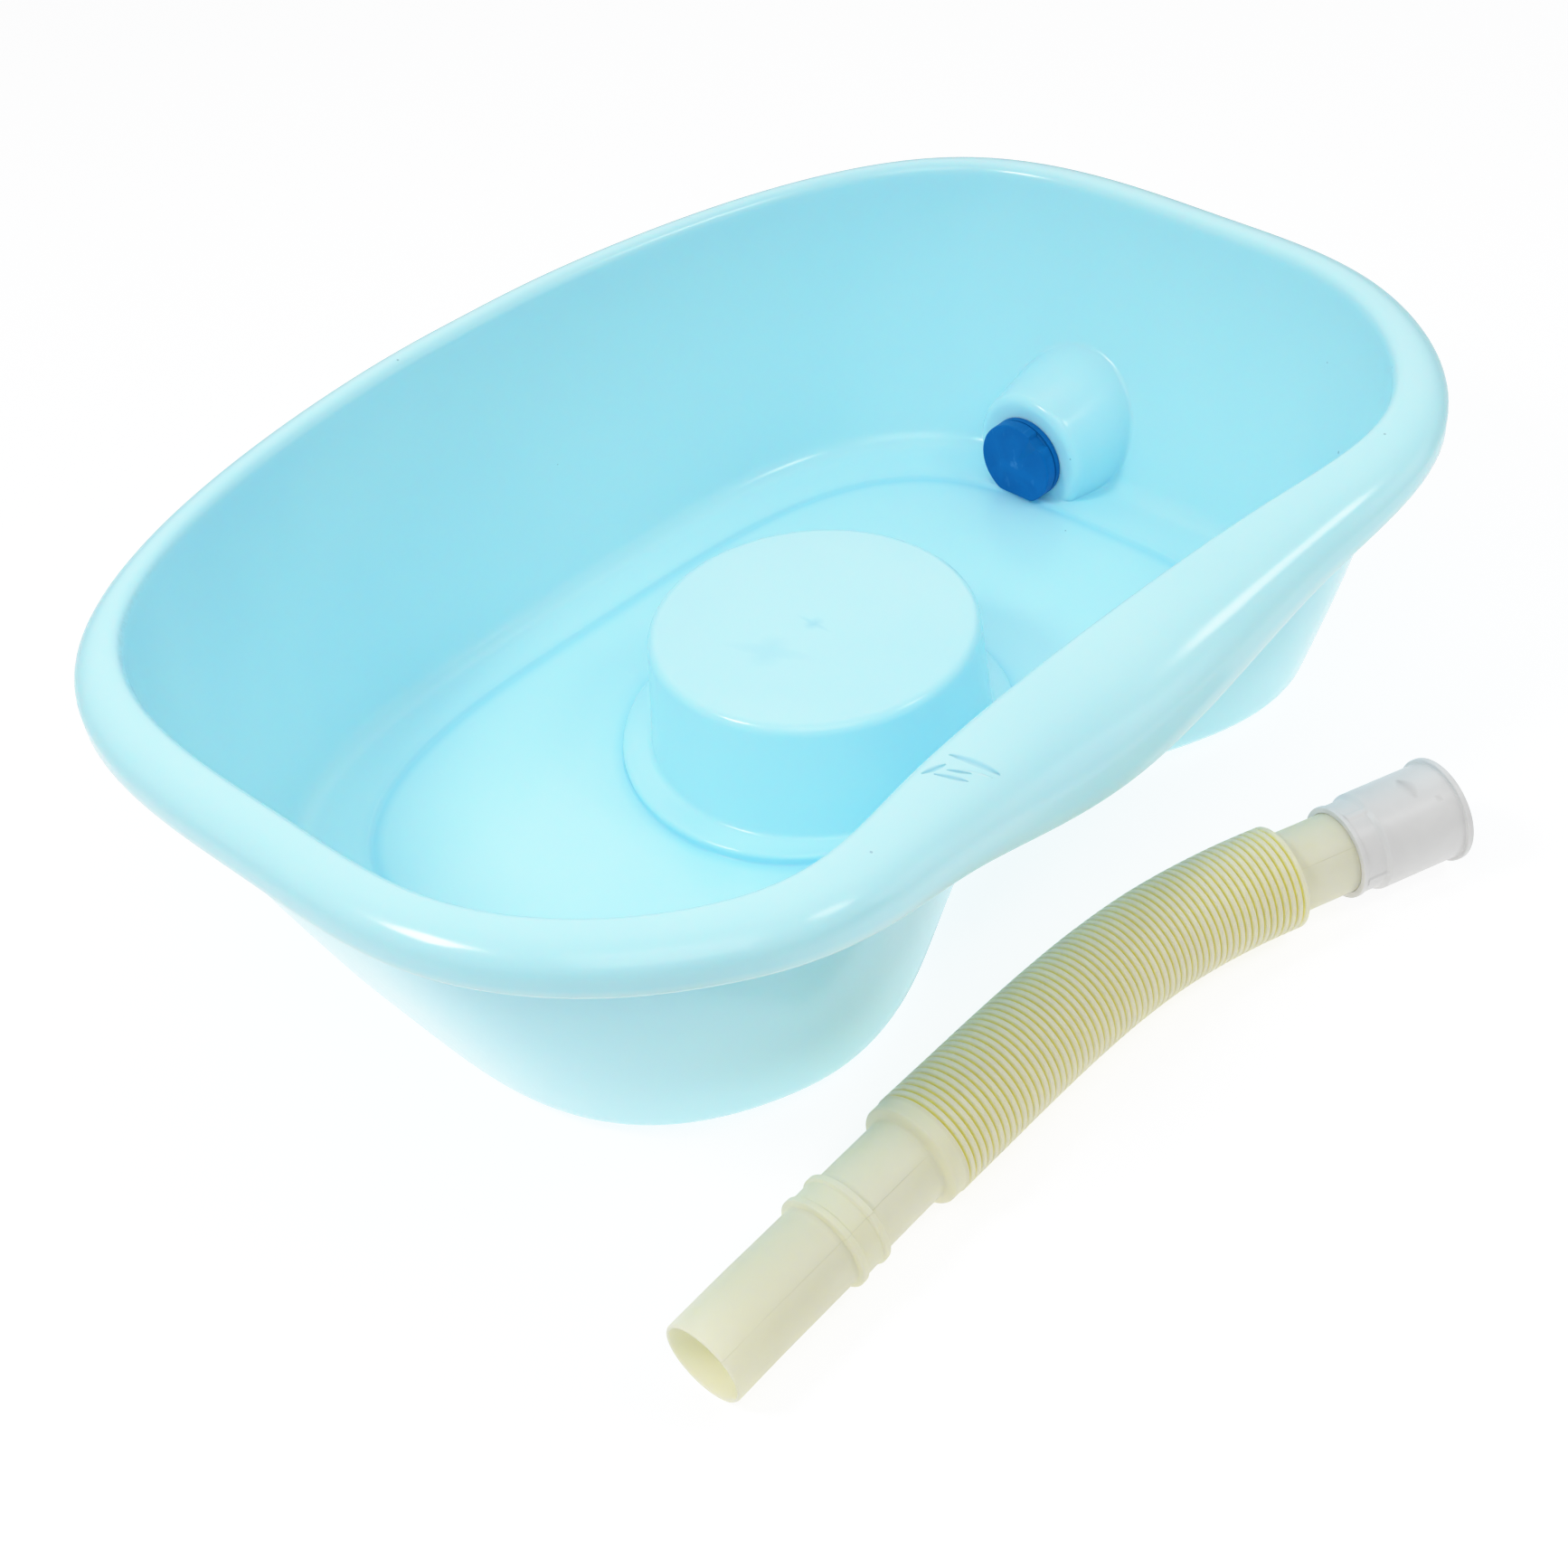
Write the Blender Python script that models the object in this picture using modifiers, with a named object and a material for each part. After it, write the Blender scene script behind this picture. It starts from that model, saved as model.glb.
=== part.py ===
"""Portable shampoo basin: a moulded tub with a neck rest, a drain plug, and a drain hose with an adapter.

The tub stands on z = 0 with its box centred on the z axis. X runs along it, towards the drain end,
and the neck rest is on the -Y side. All lengths are in metres.
"""

import math

import bmesh
import bpy
import numpy as np
from mathutils import Vector

# Rim of the tub: overall length, height of its crest, and the rolled edge that turns down outside it
RIM_LENGTH = 0.568
RIM_HEIGHT = 0.142
RIM_WIDTH_AT_ENDS = 0.0215
RIM_WIDTH_AT_BACK = 0.0160
RIM_WIDTH_AT_FRONT = 0.0232
RIM_SKIRT = 0.0175
RIM_CREST_INSET = 0.005
RIM_ROUNDING = 0.005
RIM_CURVED_SHARE = 0.6
WALL = 0.003

# Plan of the rim's inner edge from the middle of the front, round the right end, to the middle of the back,
# as shares of its half length and of its length behind the tub's centre
RIM_BACK_LENGTH = 0.2077
RIM_PLAN_SHARES = [
    (0.0, -0.623),
    (0.412, -0.699),
    (0.696, -0.739),
    (0.946, -0.439),
    (1.0, 0.0),
    (0.908, 0.659),
    (0.275, 0.980),
    (0.0, 1.0),
]
RIM_FRONT_LENGTH = -RIM_BACK_LENGTH * min(y for x, y in RIM_PLAN_SHARES)

# Neck rest: a dip in the front rim, wider and lower than the rim beside it
NECK_HALF_WIDTH = 0.211
NECK_DIP = 0.0266
NECK_WIDTH = 0.044
NECK_SKIRT = 0.0384

# Wall: how far it leans out from the floor band to the rim's inner edge
WALL_LEAN_AT_ENDS = 0.0425
WALL_LEAN_AT_BACK = 0.0447
WALL_LEAN_AT_FRONT = 0.0145

# Floor band, the flat strip round the floor at the foot of the wall
BAND_LENGTH = RIM_LENGTH - 2.0 * (RIM_WIDTH_AT_ENDS + WALL_LEAN_AT_ENDS)
BAND_BACK = RIM_BACK_LENGTH - WALL_LEAN_AT_BACK
BAND_FRONT = RIM_FRONT_LENGTH - WALL_LEAN_AT_FRONT
BAND_WIDTH_AT_ENDS = 0.0230
BAND_WIDTH_AT_BACK = 0.0195
BAND_WIDTH_AT_FRONT = 0.0170
BAND_EXPONENT = 3.5
BAND_NOTCH = 0.0520
BAND_NOTCH_HALF_WIDTH = 0.155
BAND_RISE = 0.0015
BAND_FILLET = 0.012
BAND_FILLET_TURN = math.radians(69.0)

# Floor panel, a little lower than the band: its underside is the foot that the tub stands on
PANEL_LENGTH = BAND_LENGTH - 2.0 * BAND_WIDTH_AT_ENDS
PANEL_BACK = BAND_BACK - BAND_WIDTH_AT_BACK
PANEL_FRONT = BAND_FRONT - BAND_WIDTH_AT_FRONT
PANEL_NOTCH = 0.0390
PANEL_STEP_RUN = 0.0015

# Pedestal that holds the head up, with its plinth
PEDESTAL_HEIGHT = 0.061
PEDESTAL_TOP_RADIUS = 0.072
PEDESTAL_FOOT_RADIUS = 0.076
PEDESTAL_SHOULDER = 0.005
PEDESTAL_Y = 0.0035
PLINTH_HEIGHT = 0.005
PLINTH_RADIUS = 0.0895
PLINTH_FRONT_TRIM = 0.0060
PLINTH_DRAFT = 0.0025

# Drain boss in the right end: it stands inwards over a recess that is open to the outside
DRAIN_Y = 0.053
DRAIN_HEIGHT = 0.0235
BOSS_SETBACK = 0.0164
BOSS_FACE_X = 0.5 * BAND_LENGTH - BOSS_SETBACK
BOSS_RADIUS = 0.031
BOSS_EDGE = 0.005
BOSS_TAPER = 0.20
BOSS_LENGTH = 0.080
SPOUT_RADIUS = 0.018
SPOUT_LENGTH = 0.030
DRAIN_BORE_RADIUS = 0.0155

# Drain plug: a stopper with a double flange, flat underneath, and a hollow shank
PLUG_RADIUS = 0.0209
PLUG_THICKNESS = 0.0096
PLUG_BACK_FLANGE = 0.0028
PLUG_GROOVE = 0.0008
PLUG_CHAMFER = 0.001
PLUG_FLOOR_GAP = 0.0005
PLUG_SHANK_LENGTH = 0.0135
PLUG_SHANK_WALL = 0.0018
PLUG_FLOOR = 0.003
PLUG_SEAL_HEIGHT = 0.0006
PLUG_SEAL_PITCH = 0.004
PLUG_NOTCH_WIDTH = 0.008
PLUG_NOTCH_DEPTH = 0.0016
PLUG_NOTCH_ANGLE = math.radians(38.0)

# Drain hose, lying in front of the tub: two plain cuffs and a ribbed length between them
HOSE_ROUTE = [
    (-0.2706, -0.1992, 0.0170),
    (-0.2457, -0.1983, 0.0181),
    (-0.2307, -0.1980, 0.0187),
    (-0.2127, -0.1976, 0.0195),
    (-0.1928, -0.1969, 0.0204),
    (-0.1668, -0.1963, 0.0214),
    (-0.1308, -0.1953, 0.0215),
    (-0.1058, -0.1946, 0.0215),
    (-0.0808, -0.1944, 0.0215),
    (-0.0558, -0.1951, 0.0215),
    (-0.0310, -0.1974, 0.0215),
    (-0.0113, -0.2010, 0.0215),
    (0.0081, -0.2060, 0.0215),
    (0.0224, -0.2106, 0.0215),
    (0.0383, -0.2164, 0.0215),
    (0.0552, -0.2226, 0.0217),
    (0.0735, -0.2293, 0.0219),
]
CUFF_RADIUS = 0.0166
BEAD_RADIUS = 0.0190
BEAD_WIDTH = 0.004
BEAD_BAND_RADIUS = 0.0180
FIRST_BEAD = 0.0585
SECOND_BEAD = 0.0700
CUFF_ROOT_RADIUS = 0.0170
COLLAR_START = 0.1035
COLLAR_RADIUS = 0.0208
COLLAR_LENGTH = 0.0085
RIB_RADIUS = 0.0212
GROOVE_RADIUS = 0.0194
RIB_PITCH = 0.00325
RIB_COUNT = 59
GROOVE_SHARE = 0.4
HOSE_WALL = 0.0014
HOSE_BORE_RADIUS = CUFF_RADIUS - HOSE_WALL
HOSE_SIDES_RESOLUTION = 2

# Hose adapter: a socket for the plain cuff and a wider mouth for the tub's spout
ADAPTER_SOCKET_RADIUS = 0.0186
ADAPTER_SOCKET_LENGTH = 0.0105
ADAPTER_LIP = 0.0006
ADAPTER_LIP_LENGTH = 0.0020
ADAPTER_CHAMFER = 0.0018
ADAPTER_BODY_RADIUS = 0.0202
ADAPTER_LENGTH = 0.0500
ADAPTER_FLANGE_RADIUS = 0.0218
ADAPTER_FLANGE_LENGTH = 0.0024
ADAPTER_GRIP = 0.018
ADAPTER_RIBS = 4
ADAPTER_RIB_WIDTH = 0.0028
ADAPTER_RIB_HEIGHT = 0.0005
ADAPTER_RIB_TURN = math.radians(5.0)

# Gaps and overruns
FIT_GAP = 0.0004
CUT_OVERRUN = 0.004
MERGE = 0.00001

# Places of the rings round the foot's fillet, and up the wall from it to the rim, as shares
FILLET_SHARES = (0.35, 0.7, 1.0)
WALL_LEVEL_SHARES = (0.2, 0.4, 0.6, 0.8)

# Counts
AROUND = 88
TURNED_STEPS = 48
BORE_POINT_SPACING = 0.012
FINE_SAMPLES = 2400


def clear_scene():
    for item in list(bpy.data.objects):
        bpy.data.objects.remove(item, do_unlink=True)


def new_collection(name):
    collection = bpy.data.collections.new(name)
    bpy.context.scene.collection.children.link(collection)
    return collection


def material(name, colour, roughness, transmission=0.0):
    made = bpy.data.materials.new(name)
    made.use_nodes = True
    shader = made.node_tree.nodes["Principled BSDF"]
    shader.inputs["Base Color"].default_value = (*colour, 1.0)
    shader.inputs["Roughness"].default_value = roughness
    shader.inputs["Metallic"].default_value = 0.0
    shader.inputs["Transmission Weight"].default_value = transmission
    made.diffuse_color = (*colour, 1.0)
    return made


def add_object(name, mesh, collection, finish=None):
    item = bpy.data.objects.new(name, mesh)
    collection.objects.link(item)
    if finish is not None:
        mesh.materials.append(finish)
    return item


def as_cutter(item):
    item.hide_render = True
    item.display_type = "WIRE"


def boolean(item, other, operation):
    cut = item.modifiers.new(operation.lower(), "BOOLEAN")
    cut.operation = operation
    cut.object = other
    cut.solver = "EXACT"


def weld(item):
    """Merge the doubled points that a row of cuts can leave."""
    merge = item.modifiers.new("weld", "WELD")
    merge.mode = "ALL"
    merge.merge_threshold = MERGE


def turned(name, profile, collection, finish=None, closed=False, steps=TURNED_STEPS):
    """Spin a profile of (radius, height) points about local Z. It runs down its outer side."""
    mesh = bpy.data.meshes.new(name)
    points = [(radius, 0.0, height) for radius, height in profile]
    edges = [(i, i + 1) for i in range(len(points) - 1)]
    if closed:
        edges.append((len(points) - 1, 0))
    mesh.from_pydata(points, edges, [])
    item = add_object(name, mesh, collection, finish)
    screw = item.modifiers.new("turn", "SCREW")
    screw.axis = "Z"
    screw.angle = 2.0 * math.pi
    screw.steps = steps
    screw.render_steps = steps
    screw.use_merge_vertices = True
    screw.merge_threshold = MERGE
    screw.use_smooth_shade = True
    return item


def neck_weight(x, y, half_width):
    """1 at the middle of the front, falling as a squared cosine to 0 at the half width."""
    share = np.clip(np.abs(x) / half_width, 0.0, 1.0)
    return np.where(y < 0.0, np.cos(0.5 * np.pi * share) ** 2, 0.0)


def superellipse(half_length, back, front, exponent, notch=0.0, notch_half_width=1.0, shift=0.0):
    """A rounded box in plan with its own depth behind and in front, and a smooth notch in its front."""
    angle = np.linspace(0.0, 2.0 * np.pi, FINE_SAMPLES + 1)
    across = np.sin(angle)
    along = -np.cos(angle)
    power = 2.0 / exponent
    x = half_length * np.sign(across) * np.abs(across) ** power
    depth = np.where(along > 0.0, back, front)
    y = depth * np.sign(along) * np.abs(along) ** power
    return x, y + notch * neck_weight(x, y, notch_half_width) + shift


def smooth_loop(knots):
    """A closed cubic spline through knots, with a parameter that grows by the root of their distance."""
    knots = np.array(knots)
    count = len(knots)
    after = np.roll(knots, -1, axis=0)
    gap = np.sqrt(np.linalg.norm(after - knots, axis=1))
    slope = (after - knots) / gap[:, None]
    system = np.zeros((count, count))
    for i in range(count):
        system[i, i - 1] += gap[i - 1]
        system[i, i] += 2.0 * (gap[i - 1] + gap[i])
        system[i, (i + 1) % count] += gap[i]
    bend = np.linalg.solve(system, 6.0 * (slope - np.roll(slope, 1, axis=0)))
    samples = []
    steps = np.linspace(0.0, 1.0, FINE_SAMPLES // count, endpoint=False)[:, None]
    for i in range(count):
        j = (i + 1) % count
        left = 1.0 - steps
        straight = left * knots[i] + steps * knots[j]
        curved = (left ** 3 - left) * bend[i] + (steps ** 3 - steps) * bend[j]
        samples.append(straight + curved * gap[i] ** 2 / 6.0)
    samples.append(knots[:1])
    loop = np.vstack(samples)
    return loop[:, 0], loop[:, 1]


class Outline:
    """A closed plan curve read at equal steps, starting at the middle of the front.

    Point i of one outline faces point i of the next, and each point has its outward normal.
    """

    def __init__(self, x, y):
        step = np.hypot(np.diff(x), np.diff(y))
        travelled = np.concatenate([[0.0], np.cumsum(step)])
        places = np.linspace(0.0, travelled[-1], AROUND, endpoint=False)
        self.x = np.interp(places, travelled, x)
        self.y = np.interp(places, travelled, y)
        chord_x = np.roll(self.x, -1) - np.roll(self.x, 1)
        chord_y = np.roll(self.y, -1) - np.roll(self.y, 1)
        length = np.hypot(chord_x, chord_y)
        self.normal_x = chord_y / length
        self.normal_y = -chord_x / length

    def ring(self, outward, height):
        x = self.x + self.normal_x * outward
        y = self.y + self.normal_y * outward
        return np.column_stack([x, y, np.broadcast_to(height, x.shape)])


def circle_outline(radius, front_trim=0.0):
    """A circle about the pedestal's axis, with its front drawn in by the trim."""
    return Outline(*superellipse(radius, radius, radius - front_trim, 2.0, shift=PEDESTAL_Y))


def between(first, second, share):
    return first * (1.0 - share) + second * share


def rim_outline():
    """The inner edge of the rim: its right half from the table, its left half mirrored from it."""
    half_length = 0.5 * RIM_LENGTH - RIM_WIDTH_AT_ENDS
    right = [(x * half_length, y * RIM_BACK_LENGTH) for x, y in RIM_PLAN_SHARES]
    left = [(-x, y) for x, y in reversed(right[1:-1])]
    x, y = smooth_loop(right + left)
    return Outline(x * half_length / x.max(), y)


def band_outline():
    """The outer edge of the flat band, where the fillet to the wall starts."""
    plan = superellipse(
        0.5 * BAND_LENGTH, BAND_BACK, BAND_FRONT, BAND_EXPONENT, BAND_NOTCH, BAND_NOTCH_HALF_WIDTH
    )
    return Outline(*plan)


def rim_rings():
    """Rings of the rim from the top of the wall, over the crest, to the lower edge of its skirt."""
    outline = rim_outline()
    weight = neck_weight(outline.x, outline.y, NECK_HALF_WIDTH)
    crest = RIM_HEIGHT - NECK_DIP * weight
    to_back = np.clip(outline.normal_y, 0.0, 1.0) ** 2
    to_front = np.clip(-outline.normal_y, 0.0, 1.0) ** 2
    width = RIM_WIDTH_AT_ENDS + (RIM_WIDTH_AT_BACK - RIM_WIDTH_AT_ENDS) * to_back
    width = width + (RIM_WIDTH_AT_FRONT - RIM_WIDTH_AT_ENDS) * to_front
    width = between(width, NECK_WIDTH, weight)
    skirt = between(RIM_SKIRT, NECK_SKIRT, weight)
    curved = RIM_CURVED_SHARE * skirt
    rings = []
    for turn in (0.0, math.pi / 3.0, math.pi / 2.0):
        inward = RIM_CREST_INSET * (1.0 - math.cos(turn))
        rings.append(outline.ring(inward, crest - RIM_ROUNDING * (1.0 - math.sin(turn))))
    for turn in np.linspace(0.0, 0.5 * math.pi, 5)[1:]:
        outward = RIM_CREST_INSET + (width - RIM_CREST_INSET) * math.sin(turn)
        rings.append(outline.ring(outward, crest - curved * (1.0 - math.cos(turn))))
    rings.append(outline.ring(width, crest - skirt))
    return rings


def wall_rings():
    """Rings from the floor band's outer edge, round the fillet and up the wall to just under the rim.

    The wall leans out at the fillet and is upright under the rim: its reach is a quarter sine of its height.
    """
    foot = band_outline()
    band = WALL + BAND_RISE
    rings = [foot.ring(0.0, band)]
    top = rim_rings()[0]
    for share in FILLET_SHARES:
        turn = share * BAND_FILLET_TURN
        outward = BAND_FILLET * math.sin(turn)
        rings.append(foot.ring(outward, band + BAND_FILLET * (1.0 - math.cos(turn))))
    start = rings[-1]
    for share in WALL_LEVEL_SHARES:
        level = between(start, top, math.sin(0.5 * math.pi * share))
        level[:, 2] = between(start[:, 2], top[:, 2], share)
        rings.append(level)
    return rings


def floor_rings():
    """Rings of the floor: pedestal top, shoulder, side, plinth, floor panel and the step up to the band."""
    panel = WALL
    band = panel + BAND_RISE
    plinth = panel + PLINTH_HEIGHT
    top = panel + PEDESTAL_HEIGHT
    rings = []
    for turn in (0.0, math.pi / 4.0, math.pi / 2.0):
        radius = PEDESTAL_TOP_RADIUS - PEDESTAL_SHOULDER * (1.0 - math.sin(turn))
        height = top - PEDESTAL_SHOULDER * (1.0 - math.cos(turn))
        rings.append(circle_outline(radius).ring(0.0, height))
    rings.append(circle_outline(PEDESTAL_FOOT_RADIUS).ring(0.0, plinth + PLINTH_DRAFT))
    rings.append(circle_outline(PEDESTAL_FOOT_RADIUS + PLINTH_DRAFT).ring(0.0, plinth))
    rings.append(circle_outline(PLINTH_RADIUS - PLINTH_DRAFT, PLINTH_FRONT_TRIM).ring(0.0, plinth))
    rings.append(circle_outline(PLINTH_RADIUS, PLINTH_FRONT_TRIM).ring(0.0, panel))
    plan = superellipse(
        0.5 * PANEL_LENGTH, PANEL_BACK, PANEL_FRONT, BAND_EXPONENT, PANEL_NOTCH, BAND_NOTCH_HALF_WIDTH
    )
    edge = Outline(*plan)
    rings.append(edge.ring(0.0, panel))
    rings.append(edge.ring(PANEL_STEP_RUN, band))
    return rings


def centre_shift():
    """How far the tub's own centre lies from the middle of its box, along Y."""
    outer = rim_rings()[-1]
    return -0.5 * (outer[:, 1].max() + outer[:, 1].min())


def lofted(name, rings, cap_first, cap_last, collection, finish=None):
    """Quads between neighbouring rings, each of the same count, with the ends capped where asked.

    Rings that run outwards and up face the inside of the tub, and rings that run down face away from it.
    """
    mesh = bpy.data.meshes.new(name)
    points = np.concatenate(rings)
    points[:, 1] += centre_shift()
    faces = []
    for level in range(len(rings) - 1):
        low = level * AROUND
        high = low + AROUND
        for i in range(AROUND):
            j = (i + 1) % AROUND
            faces.append((low + i, high + i, high + j, low + j))
    if cap_first:
        faces.append(tuple(range(AROUND)))
    if cap_last:
        last = (len(rings) - 1) * AROUND
        faces.append(tuple(last + i for i in reversed(range(AROUND))))
    mesh.from_pydata(points.tolist(), [], faces)
    mesh.update()
    return add_object(name, mesh, collection, finish)


def turn_towards_x(item, x, y, z):
    item.rotation_euler = (0.0, 0.5 * math.pi, 0.0)
    item.location = (x, y, z)


def drain_axis():
    return DRAIN_Y + centre_shift(), DRAIN_HEIGHT


def frustum_profile(radius, start, end, edge):
    """A cone round local Z that widens with height by the boss's taper, its small end rounded by edge."""
    profile = [(0.0, end), (radius + BOSS_TAPER * (end - start), end)]
    profile.append((radius + BOSS_TAPER * edge, start + edge))
    for turn in (math.pi / 6.0, math.pi / 3.0):
        profile.append((radius - edge * (1.0 - math.cos(turn)), start + edge * (1.0 - math.sin(turn))))
    profile.append((radius - edge, start))
    profile.append((0.0, start))
    return profile


def build_tub(parts, cutters, finish):
    """The moulding: an open surface given its wall, then the boss, its recess, the spout and the bore."""
    rings = floor_rings() + wall_rings() + rim_rings()
    tub = lofted("basin_shell", rings, True, False, parts, finish)
    shell = tub.modifiers.new("wall", "SOLIDIFY")
    shell.thickness = WALL
    shell.offset = -1.0
    shell.use_even_offset = True
    shell.use_quality_normals = True

    drain_y, drain_z = drain_axis()
    half = 0.5 * WALL
    foot = band_outline()
    outward = half * np.column_stack([foot.normal_x, foot.normal_y, np.zeros(AROUND)])
    sunk = [ring + outward - np.array([0.0, 0.0, half]) for ring in reversed(wall_rings())]
    envelope = lofted("inside_of_tub", sunk, True, True, cutters)
    as_cutter(envelope)

    boss = turned("boss", frustum_profile(BOSS_RADIUS, 0.0, BOSS_LENGTH, BOSS_EDGE), cutters)
    turn_towards_x(boss, BOSS_FACE_X, drain_y, drain_z)
    boolean(boss, envelope, "INTERSECT")
    as_cutter(boss)

    recess_end = BOSS_LENGTH + CUT_OVERRUN
    recess_profile = frustum_profile(BOSS_RADIUS - WALL, WALL, recess_end, BOSS_EDGE - half)
    recess = turned("recess", recess_profile, cutters)
    turn_towards_x(recess, BOSS_FACE_X, drain_y, drain_z)
    as_cutter(recess)

    spout_profile = [(0.0, SPOUT_LENGTH), (SPOUT_RADIUS, SPOUT_LENGTH), (SPOUT_RADIUS, half), (0.0, half)]
    spout = turned("spout", spout_profile, cutters)
    turn_towards_x(spout, BOSS_FACE_X, drain_y, drain_z)
    as_cutter(spout)

    low, high = -CUT_OVERRUN, SPOUT_LENGTH + CUT_OVERRUN
    bore_profile = [(0.0, high), (DRAIN_BORE_RADIUS, high), (DRAIN_BORE_RADIUS, low), (0.0, low)]
    bore = turned("bore", bore_profile, cutters)
    turn_towards_x(bore, BOSS_FACE_X, drain_y, drain_z)
    as_cutter(bore)

    boolean(tub, boss, "UNION")
    boolean(tub, recess, "DIFFERENCE")
    boolean(tub, spout, "UNION")
    boolean(tub, bore, "DIFFERENCE")
    weld(tub)
    return tub


def build_plug(parts, cutters, finish):
    """The stopper, turned about the drain's axis, with z = 0 at the boss's face, then cut flat below."""
    drain_y, drain_z = drain_axis()
    seat = -FIT_GAP
    front = seat - PLUG_THICKNESS
    groove_low = seat - PLUG_BACK_FLANGE
    groove_high = groove_low - PLUG_GROOVE
    shank = DRAIN_BORE_RADIUS - FIT_GAP - PLUG_SEAL_HEIGHT
    end = seat + PLUG_SHANK_LENGTH
    inner = shank - PLUG_SHANK_WALL
    profile = [
        (0.0, front + PLUG_FLOOR),
        (inner, front + PLUG_FLOOR),
        (inner, end),
        (shank - PLUG_CHAMFER, end),
        (shank, end - PLUG_CHAMFER),
    ]
    for ridge in (2, 1):
        middle = seat + ridge * PLUG_SEAL_PITCH
        profile.append((shank, middle + PLUG_SEAL_HEIGHT))
        profile.append((shank + PLUG_SEAL_HEIGHT, middle))
        profile.append((shank, middle - PLUG_SEAL_HEIGHT))
    profile += [
        (shank, seat),
        (PLUG_RADIUS, seat),
        (PLUG_RADIUS, groove_low),
        (PLUG_RADIUS - PLUG_GROOVE, groove_low),
        (PLUG_RADIUS - PLUG_GROOVE, groove_high),
        (PLUG_RADIUS, groove_high),
        (PLUG_RADIUS, front + PLUG_CHAMFER),
        (PLUG_RADIUS - PLUG_CHAMFER, front),
        (0.0, front),
    ]
    plug = turned("drain_plug", profile, parts, finish)
    turn_towards_x(plug, BOSS_FACE_X, drain_y, drain_z)

    bpy.ops.mesh.primitive_cube_add(size=1.0)
    flat = bpy.context.object
    flat.name = "plug_flat"
    move_to(flat, cutters)
    flat.scale = (PLUG_THICKNESS + 2.0 * FIT_GAP, 2.0 * PLUG_RADIUS, PLUG_RADIUS)
    flat.location = (
        BOSS_FACE_X + seat - 0.5 * PLUG_THICKNESS,
        drain_y,
        WALL + BAND_RISE + PLUG_FLOOR_GAP - 0.5 * PLUG_RADIUS,
    )
    as_cutter(flat)

    bpy.ops.mesh.primitive_cube_add(size=1.0)
    notch = bpy.context.object
    notch.name = "plug_finger_notch"
    move_to(notch, cutters)
    notch.scale = (PLUG_THICKNESS - PLUG_BACK_FLANGE, PLUG_NOTCH_WIDTH, 2.0 * PLUG_NOTCH_DEPTH)
    notch.rotation_euler = (PLUG_NOTCH_ANGLE, 0.0, 0.0)
    notch.location = (
        BOSS_FACE_X + groove_high + PLUG_CHAMFER - 0.5 * PLUG_BACK_FLANGE,
        drain_y - PLUG_RADIUS * math.sin(PLUG_NOTCH_ANGLE),
        drain_z + PLUG_RADIUS * math.cos(PLUG_NOTCH_ANGLE),
    )
    as_cutter(notch)
    boolean(plug, flat, "DIFFERENCE")
    boolean(plug, notch, "DIFFERENCE")
    return plug


def move_to(item, collection):
    for old in list(item.users_collection):
        old.objects.unlink(item)
    collection.objects.link(item)


class Route:
    """A smooth curve through the hose's route points, read by the distance along it."""

    def __init__(self, points):
        knots = np.array(points)
        knots[:, 1] += centre_shift()
        before = 2.0 * knots[0] - knots[1]
        after = 2.0 * knots[-1] - knots[-2]
        padded = np.vstack([before, knots, after])
        steps = np.linspace(0.0, 1.0, 40, endpoint=False)[:, None]
        pieces = []
        for i in range(1, len(padded) - 2):
            start, end = padded[i], padded[i + 1]
            leave = 0.5 * (padded[i + 1] - padded[i - 1])
            arrive = 0.5 * (padded[i + 2] - padded[i])
            square = steps ** 2
            cube = steps ** 3
            pieces.append(
                (2.0 * cube - 3.0 * square + 1.0) * start
                + (cube - 2.0 * square + steps) * leave
                + (3.0 * square - 2.0 * cube) * end
                + (cube - square) * arrive
            )
        pieces.append(padded[-2][None, :])
        self.points = np.vstack(pieces)
        gaps = np.linalg.norm(np.diff(self.points, axis=0), axis=1)
        self.travelled = np.concatenate([[0.0], np.cumsum(gaps)])
        self.length = float(self.travelled[-1])

    def at(self, place):
        inside = min(max(place, 0.0), self.length)
        point = np.array([np.interp(inside, self.travelled, self.points[:, i]) for i in range(3)])
        return point + (place - inside) * self.heading(inside)

    def heading(self, place):
        middle = min(max(place, CUT_OVERRUN), self.length - CUT_OVERRUN)
        ends = [
            np.array([np.interp(middle + side, self.travelled, self.points[:, i]) for i in range(3)])
            for side in (-CUT_OVERRUN, CUT_OVERRUN)
        ]
        run = ends[1] - ends[0]
        return run / np.linalg.norm(run)


def tube(name, route, stations, collection, finish=None):
    """A tube along the route with a radius at each place, made a mesh with its caps welded."""
    curve = bpy.data.curves.new(name, "CURVE")
    curve.dimensions = "3D"
    curve.bevel_depth = 1.0
    curve.bevel_resolution = HOSE_SIDES_RESOLUTION
    curve.use_fill_caps = True
    spline = curve.splines.new("POLY")
    spline.points.add(len(stations) - 1)
    for point, (place, radius) in zip(spline.points, stations):
        point.co = (*route.at(place), 1.0)
        point.radius = radius
    drawn = bpy.data.objects.new(name + "_curve", curve)
    collection.objects.link(drawn)
    bpy.context.view_layer.update()
    evaluated = drawn.evaluated_get(bpy.context.evaluated_depsgraph_get())
    mesh = bpy.data.meshes.new_from_object(evaluated)
    mesh.name = name
    welded = bmesh.new()
    welded.from_mesh(mesh)
    bmesh.ops.remove_doubles(welded, verts=welded.verts, dist=MERGE)
    bmesh.ops.recalc_face_normals(welded, faces=welded.faces)
    welded.to_mesh(mesh)
    welded.free()
    mesh.materials.clear()
    item = add_object(name, mesh, collection, finish)
    item.matrix_world = drawn.matrix_world.copy()
    bpy.data.objects.remove(drawn, do_unlink=True)
    return item


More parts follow.
